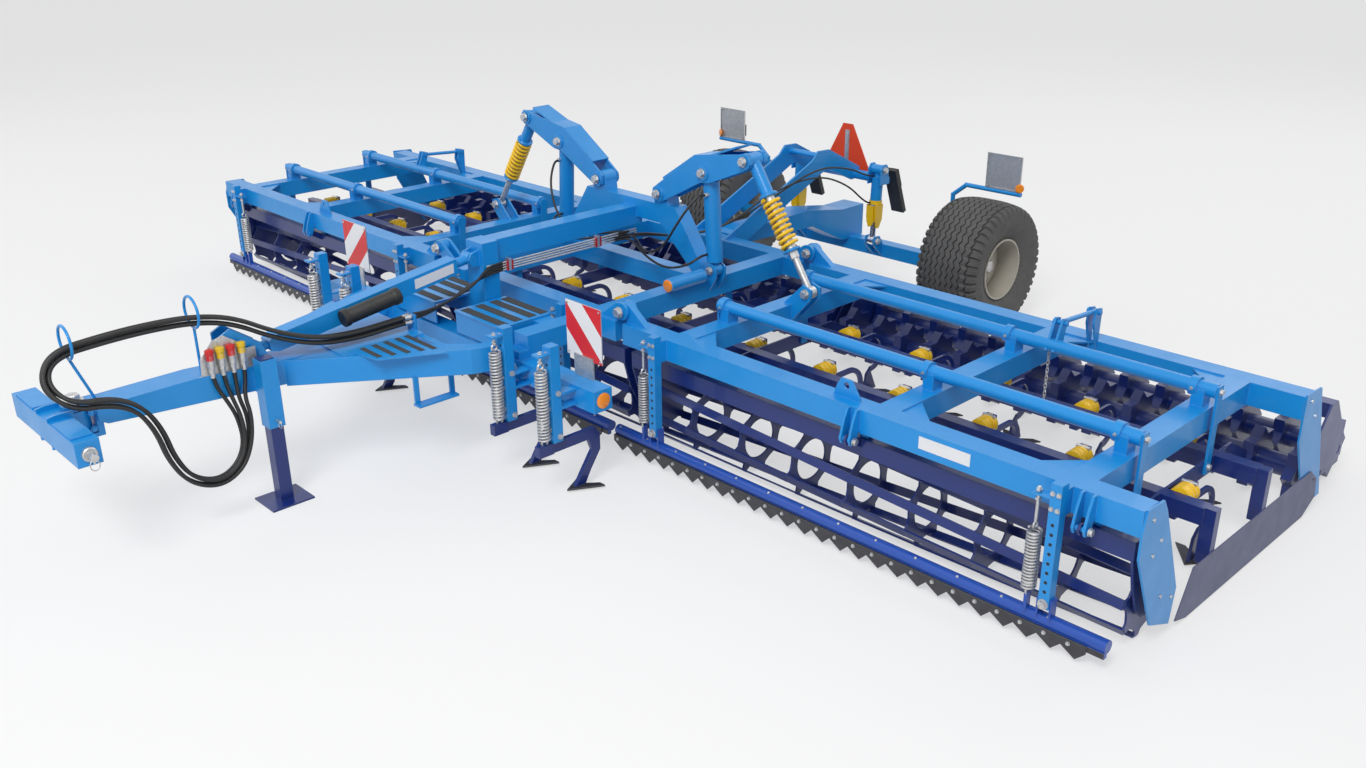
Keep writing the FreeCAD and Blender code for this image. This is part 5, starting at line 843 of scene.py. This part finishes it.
class CULTIVATOR_OT_rear(bpy.types.Operator):
    """Adds the lamps behind the lift posts, the lift cylinders' yellow locks, and the stubs' reflectors"""
    bl_idname = "cultivator.rear"
    bl_label = "Add the rear lamps, locks and stubs"

    def execute(self, context):
        tilt = np.array((0, 0.36, -0.93))
        out = np.array((0, 0.93, 0.36))
        top = np.array((0.34, 3.2, 1.01))
        frame = slab([top, top + (0.11, 0, 0), top + (0.11, 0, 0) + tilt*0.36, top + tilt*0.36], out*0.035)
        cup = top + (0.03, 0, 0) + out*0.035
        lamp = slab([cup + tilt*0.02, cup + (0.06, 0, 0) + tilt*0.02, cup + (0.06, 0, 0) + tilt*0.16,
                     cup + tilt*0.16], out*0.03)
        add("Lamp_boards", both(join([frame, lamp])), "black", "centre", smooth=False)
        tips = []
        for x in (0.328, 0.402):
            tips.append(slab([(x, 3.035, 0.775), (x, 3.125, 0.775), (x, 3.118, 0.66), (x, 3.085, 0.6),
                              (x, 3.06, 0.6), (x, 3.035, 0.68)], (0.01, 0, 0)))
        tips.append(lathe([(0, 0.0385), (0, 0.047), (0.03, 0.047), (0.03, 0.0385)], (0.37, 3.0855, 0.775),
                          (0, 0.0565, 1), 32))
        add("Lift_locks", both(join(tips)), "yellow", "lift_barrel", smooth=False)
        add("Stubs", both(pin((0.72, 0.64, 0.785), (0.72, 0.93, 0.785), 0.042, 28)), "blue", "centre")
        face = lathe([(0, 0.037), (0.006, 0.037), (0.009, 0.03), (0.01, 0)], (0.72, 0.6399, 0.785),
                     (0, -1, 0), 32)
        add("Stub_reflectors", both(face), "amber", "centre")
        return {"FINISHED"}


class CULTIVATOR_OT_platform(bpy.types.Operator):
    """Adds the skirts of the step decks, and the steps on the drawbar's legs with dark strips painted as the
    shade in their openings
    """
    bl_idname = "cultivator.platform"
    bl_label = "Add the decks and steps"

    def execute(self, context):
        skirts = [block((0.105, -0.4495, 0.62), (0.53, -0.4405, 0.7395)),
                  block((0.521, -0.44, 0.62), (0.53, -0.12, 0.7395))]
        add("Deck_skirts", both(join(skirts)), "blue", "centre", smooth=False)
        corners = np.array(((0.2, -1.2, 0.7305), (0.43, -1.16, 0.7305), (0.6, -0.84, 0.7305),
                            (0.2, -0.84, 0.7305)))
        add("Leg_steps", both(slab(corners, (0, 0, 0.006))), "blue", "drawbar", smooth=False)
        # dark strips painted as the shade in the steps' openings
        slot_shades = [block((0.225, y, 0.7366), (0.40 + 0.38*(y + 1.16), y + 0.03, 0.738))
                 for y in (-1.14, -1.07, -1.0, -0.93, -0.87)]
        add("Leg_slots", both(join(slot_shades)), "grip", "drawbar", smooth=False)
        return {"FINISHED"}


class CULTIVATOR_OT_hitch(bpy.types.Operator):
    """Adds the hitch bar's flanges, collars and safety pins, the swivel's nut and the nose's bolts"""
    bl_idname = "cultivator.hitch"
    bl_label = "Dress the hitch bar"

    def execute(self, context):
        y, z = -2.605, 0.69
        flange = slab([(0.068, -2.6595, 0.612), (0.068, -2.6595, 0.768), (0.068, -2.62, 0.775),
                       (0.068, -2.54, 0.775), (0.068, -2.54, 0.605), (0.068, -2.62, 0.605)], (0.014, 0, 0))
        cap = slab([(0.4, -2.6598, 0.632), (0.4, -2.6598, 0.748), (0.4, -2.5502, 0.748),
                    (0.4, -2.5502, 0.632)], (0.0102, 0, 0))
        saddle = block((0.13, -2.654, 0.75), (0.36, -2.556, 0.758))
        add("Hitch_plates", both(join([flange, cap, saddle])), "blue", "hitch", smooth=False)
        turn = np.linspace(0, 2*math.pi, 24)
        ring = np.stack([0.466 + 0*turn, y + 0.021*np.cos(turn), z - 0.04 + 0.026*np.sin(turn)], axis=-1)
        collar = lathe([(0, 0.02), (0, 0.034), (0.018, 0.034), (0.022, 0.03), (0.022, 0.02)], (0.4105, y, z),
                       (1, 0, 0), 28)
        collars = join([collar, pin((0.466, y, z - 0.036), (0.466, y, z + 0.03), 0.005), tube(ring, 0.0028, 6),
                        bolt((0.0821, -2.58, 0.69), (1, 0, 0), 0.014)])
        add("Hitch_collars", both(collars), "zinc", "hitch")
        foot = (0, -2.51, 0.7852)
        nut = join([lathe([(0, 0), (0, 0.048), (0.008, 0.048), (0.008, 0)], foot, (0, 0, 1), 36),
                    lathe([(0.008, 0.034), (0.034, 0.034), (0.037, 0.031), (0.037, 0)], foot, (0, 0, 1), 6)])
        add("Swivel_nut", nut, "zinc", "hitch", smooth=False)
        boss = lathe([(-0.012, 0), (-0.012, 0.034), (0.012, 0.034), (0.012, 0)], (0, -2.2, 0.655),
                     (1, 0, 0), 28)
        side = join([bolt((0.0601, -2.46, height), (1, 0, 0), 0.013) for height in (0.65, 0.73)] + [boss])
        add("Nose_lugs", side, "blue", "drawbar")
        return {"FINISHED"}


class CULTIVATOR_OT_document_tube(bpy.types.Operator):
    """Builds the ribbed document tube with a screw cap at each end and two clamps"""
    bl_idname = "cultivator.document_tube"
    bl_label = "Build the document tube"

    def execute(self, context):
        start, end = np.array((0.0986, -1.15, 0.875)), np.array((0.0986, -0.8, 0.926))
        full = float(np.linalg.norm(end - start))
        knurl = [(0.0, 0.0), (0.0, 0.044), (0.004, 0.048), (0.032, 0.048), (0.036, 0.045)]
        ribs = [(0.036 + 0.0125*k + d, 0.0415 + 0.002*(d > 0)) for k in range(22) for d in (0, 0.006)]
        back = [(full - h, r) for h, r in reversed(knurl)]
        body = lathe(knurl + ribs + back, start, end - start, 40)
        straps = [block((0.0463, y, z), (0.0663, y + 0.03, z + 0.03))
                  for y, z in ((-1.08, 0.866), (-0.9, 0.892))]
        add("Document_tube", join([body] + straps), "black", "link_barrel",
            replaces=("document_tube",))
        return {"FINISHED"}


class CULTIVATOR_OT_jack_pin(bpy.types.Operator):
    """Sets the locking pin through the jack sleeve, with its ring"""
    bl_idname = "cultivator.jack_pin"
    bl_label = "Set the jack pin"

    def execute(self, context):
        turn = np.linspace(0, 2*math.pi, 24)
        ring = np.stack([0.225 + 0.018*np.cos(turn), -1.63 + 0*turn, 0.452 + 0.018*np.sin(turn)], axis=-1)
        head = join([pin((0.1935, -1.63, 0.47), (0.235, -1.63, 0.47), 0.008), tube(ring, 0.002, 6)])
        add("Jack_pin", head, "zinc", "drawbar")
        return {"FINISHED"}


class CULTIVATOR_OT_chain(bpy.types.Operator):
    """Hangs the depth chain of oval links, each turned a quarter from the one before"""
    bl_idname = "cultivator.chain"
    bl_label = "Hang the chain"

    def execute(self, context):
        turn = np.linspace(0, 2*math.pi, 20)
        links = []
        for k in range(15):
            across, along = 0.007*np.cos(turn), 0.014*np.sin(turn)
            x, y = (across, 0*turn) if k % 2 else (0*turn, across)
            links.append(tube(np.stack([2.86 + x, 1.3 + y, 0.815 - 0.0215*k + along], axis=-1), 0.0027, 6))
        add("Depth_chain", join(links), "zinc", "wing_left")
        return {"FINISHED"}


class CULTIVATOR_OT_stage(bpy.types.Operator):
    """Sets the camera, the pale floor and the soft light"""
    bl_idname = "cultivator.stage"
    bl_label = "Set the stage"

    def execute(self, context):
        scene = context.scene
        settings = scene.cultivator_stage
        camera = bpy.data.objects.new("Camera", bpy.data.cameras.new("Camera"))
        scene.collection.objects.link(camera)
        azimuth, elevation = settings.azimuth, settings.elevation
        ahead = Vector((-math.sin(azimuth)*math.cos(elevation), math.cos(azimuth)*math.cos(elevation),
                        -math.sin(elevation)))
        turn = ahead.to_track_quat("-Z", "Y").to_matrix().to_4x4() @ Matrix.Rotation(settings.roll, 4, "Z")
        camera.matrix_world = Matrix.Translation(Vector(settings.place)) @ turn
        camera.data.lens = settings.lens
        camera.data.sensor_width = 36
        camera.data.clip_end = 200
        camera.data.dof.use_dof = False
        scene.camera = camera
        floor = bpy.data.meshes.new("Floor")
        floor.from_pydata([(-60, -60, 0), (60, -60, 0), (60, 60, 0), (-60, 60, 0)], [], [(0, 1, 2, 3)])
        floor.materials.append(self.floor_paint())
        ground = bpy.data.objects.new("Floor", floor)
        scene.collection.objects.link(ground)
        lights = [("Key", (6, -9, 11), settings.key_power, 5), ("Fill", (-10, -5, 8), settings.fill_power, 9),
                  ("Back", (2, 11, 9), settings.back_power, 8)]
        for name, place, power, size in lights:
            lamp = bpy.data.lights.new(name, "AREA")
            lamp.energy, lamp.size = power, size
            item = bpy.data.objects.new(name, lamp)
            item.matrix_world = (Matrix.Translation(Vector(place))
                                 @ (-Vector(place)).to_track_quat("-Z", "Y").to_matrix().to_4x4())
            scene.collection.objects.link(item)
        world = bpy.data.worlds.new("Studio")
        world.use_nodes = True
        nodes, links = world.node_tree.nodes, world.node_tree.links
        light = nodes["Background"]
        light.inputs["Color"].default_value = (0.97, 0.98, 1.0, 1)
        light.inputs["Strength"].default_value = settings.sky_strength
        white = nodes.new("ShaderNodeBackground")
        white.inputs["Color"].default_value = (1, 1, 1, 1)
        self.seen_white(nodes, links, light, white, nodes["World Output"], 1.0)
        scene.world = world
        scene.view_settings.view_transform = "Standard"
        return {"FINISHED"}


    def floor_paint(self):
        """Pale matt floor that keeps the shadow and, to the eye and in reflections, is half way to white."""
        paint = material("Floor", (0.8, 0.8, 0.8, 1), rough=0.8, dirt=0.02)
        nodes, links = paint.node_tree.nodes, paint.node_tree.links
        white = nodes.new("ShaderNodeEmission")
        white.inputs["Color"].default_value = (1, 1, 1, 1)
        self.seen_white(nodes, links, nodes["Principled BSDF"], white, nodes["Material Output"], 0.55)
        return paint

    def seen_white(self, nodes, links, base, white, output, share):
        """Mixes white into a shader for rays from the eye, a reflection or glass, not for its light."""
        path = nodes.new("ShaderNodeLightPath")
        seen = path.outputs["Is Camera Ray"]
        for other in ("Is Glossy Ray", "Is Transmission Ray"):
            step = nodes.new("ShaderNodeMath")
            step.operation = "MAXIMUM"
            links.new(seen, step.inputs[0])
            links.new(path.outputs[other], step.inputs[1])
            seen = step.outputs[0]
        part = nodes.new("ShaderNodeMath")
        part.operation = "MULTIPLY"
        part.inputs[1].default_value = share
        links.new(seen, part.inputs[0])
        mix = nodes.new("ShaderNodeMixShader")
        links.new(part.outputs[0], mix.inputs[0])
        links.new(base.outputs[0], mix.inputs[1])
        links.new(white.outputs[0], mix.inputs[2])
        links.new(mix.outputs[0], output.inputs["Surface"])


class CULTIVATOR_PT_panel(bpy.types.Panel):
    """Buttons that build each group of pieces"""
    bl_idname = "CULTIVATOR_PT_panel"
    bl_label = "Cultivator"
    bl_space_type = "VIEW_3D"
    bl_region_type = "UI"
    bl_category = "Cultivator"

    def draw(self, context):
        """Shows a button for each step, then the settings."""
        for step in STEPS:
            self.layout.operator(step.bl_idname)
        for name, kind in SETTINGS:
            for key in kind.__annotations__:
                self.layout.prop(getattr(context.scene, name), key)


STEPS = (CULTIVATOR_OT_stage, CULTIVATOR_OT_hoses, CULTIVATOR_OT_paint, CULTIVATOR_OT_wheels,
         CULTIVATOR_OT_springs, CULTIVATOR_OT_bolts, CULTIVATOR_OT_fittings, CULTIVATOR_OT_pipes,
         CULTIVATOR_OT_rear, CULTIVATOR_OT_platform, CULTIVATOR_OT_hitch, CULTIVATOR_OT_document_tube,
         CULTIVATOR_OT_jack_pin, CULTIVATOR_OT_chain)
SETTINGS = (("cultivator_stage", CultivatorStageSettings), ("cultivator_paint", CultivatorPaintSettings),
            ("cultivator_sizes", CultivatorSizeSettings))
CLASSES = tuple(kind for _, kind in SETTINGS) + STEPS + (CULTIVATOR_PT_panel,)


def register():
    """Adds the settings, operators and panel."""
    for kind in CLASSES:
        bpy.utils.register_class(kind)
    for name, kind in SETTINGS:
        setattr(bpy.types.Scene, name, PointerProperty(type=kind))


def unregister():
    """Takes them away again."""
    for name, _ in SETTINGS:
        delattr(bpy.types.Scene, name)
    for kind in reversed(CLASSES):
        bpy.utils.unregister_class(kind)


def main():
    """Loads the frame and builds every piece in order."""
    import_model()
    register()
    for step in STEPS:
        getattr(bpy.ops.cultivator, step.bl_idname.split(".")[1])()


if __name__ == "__main__":
    main()
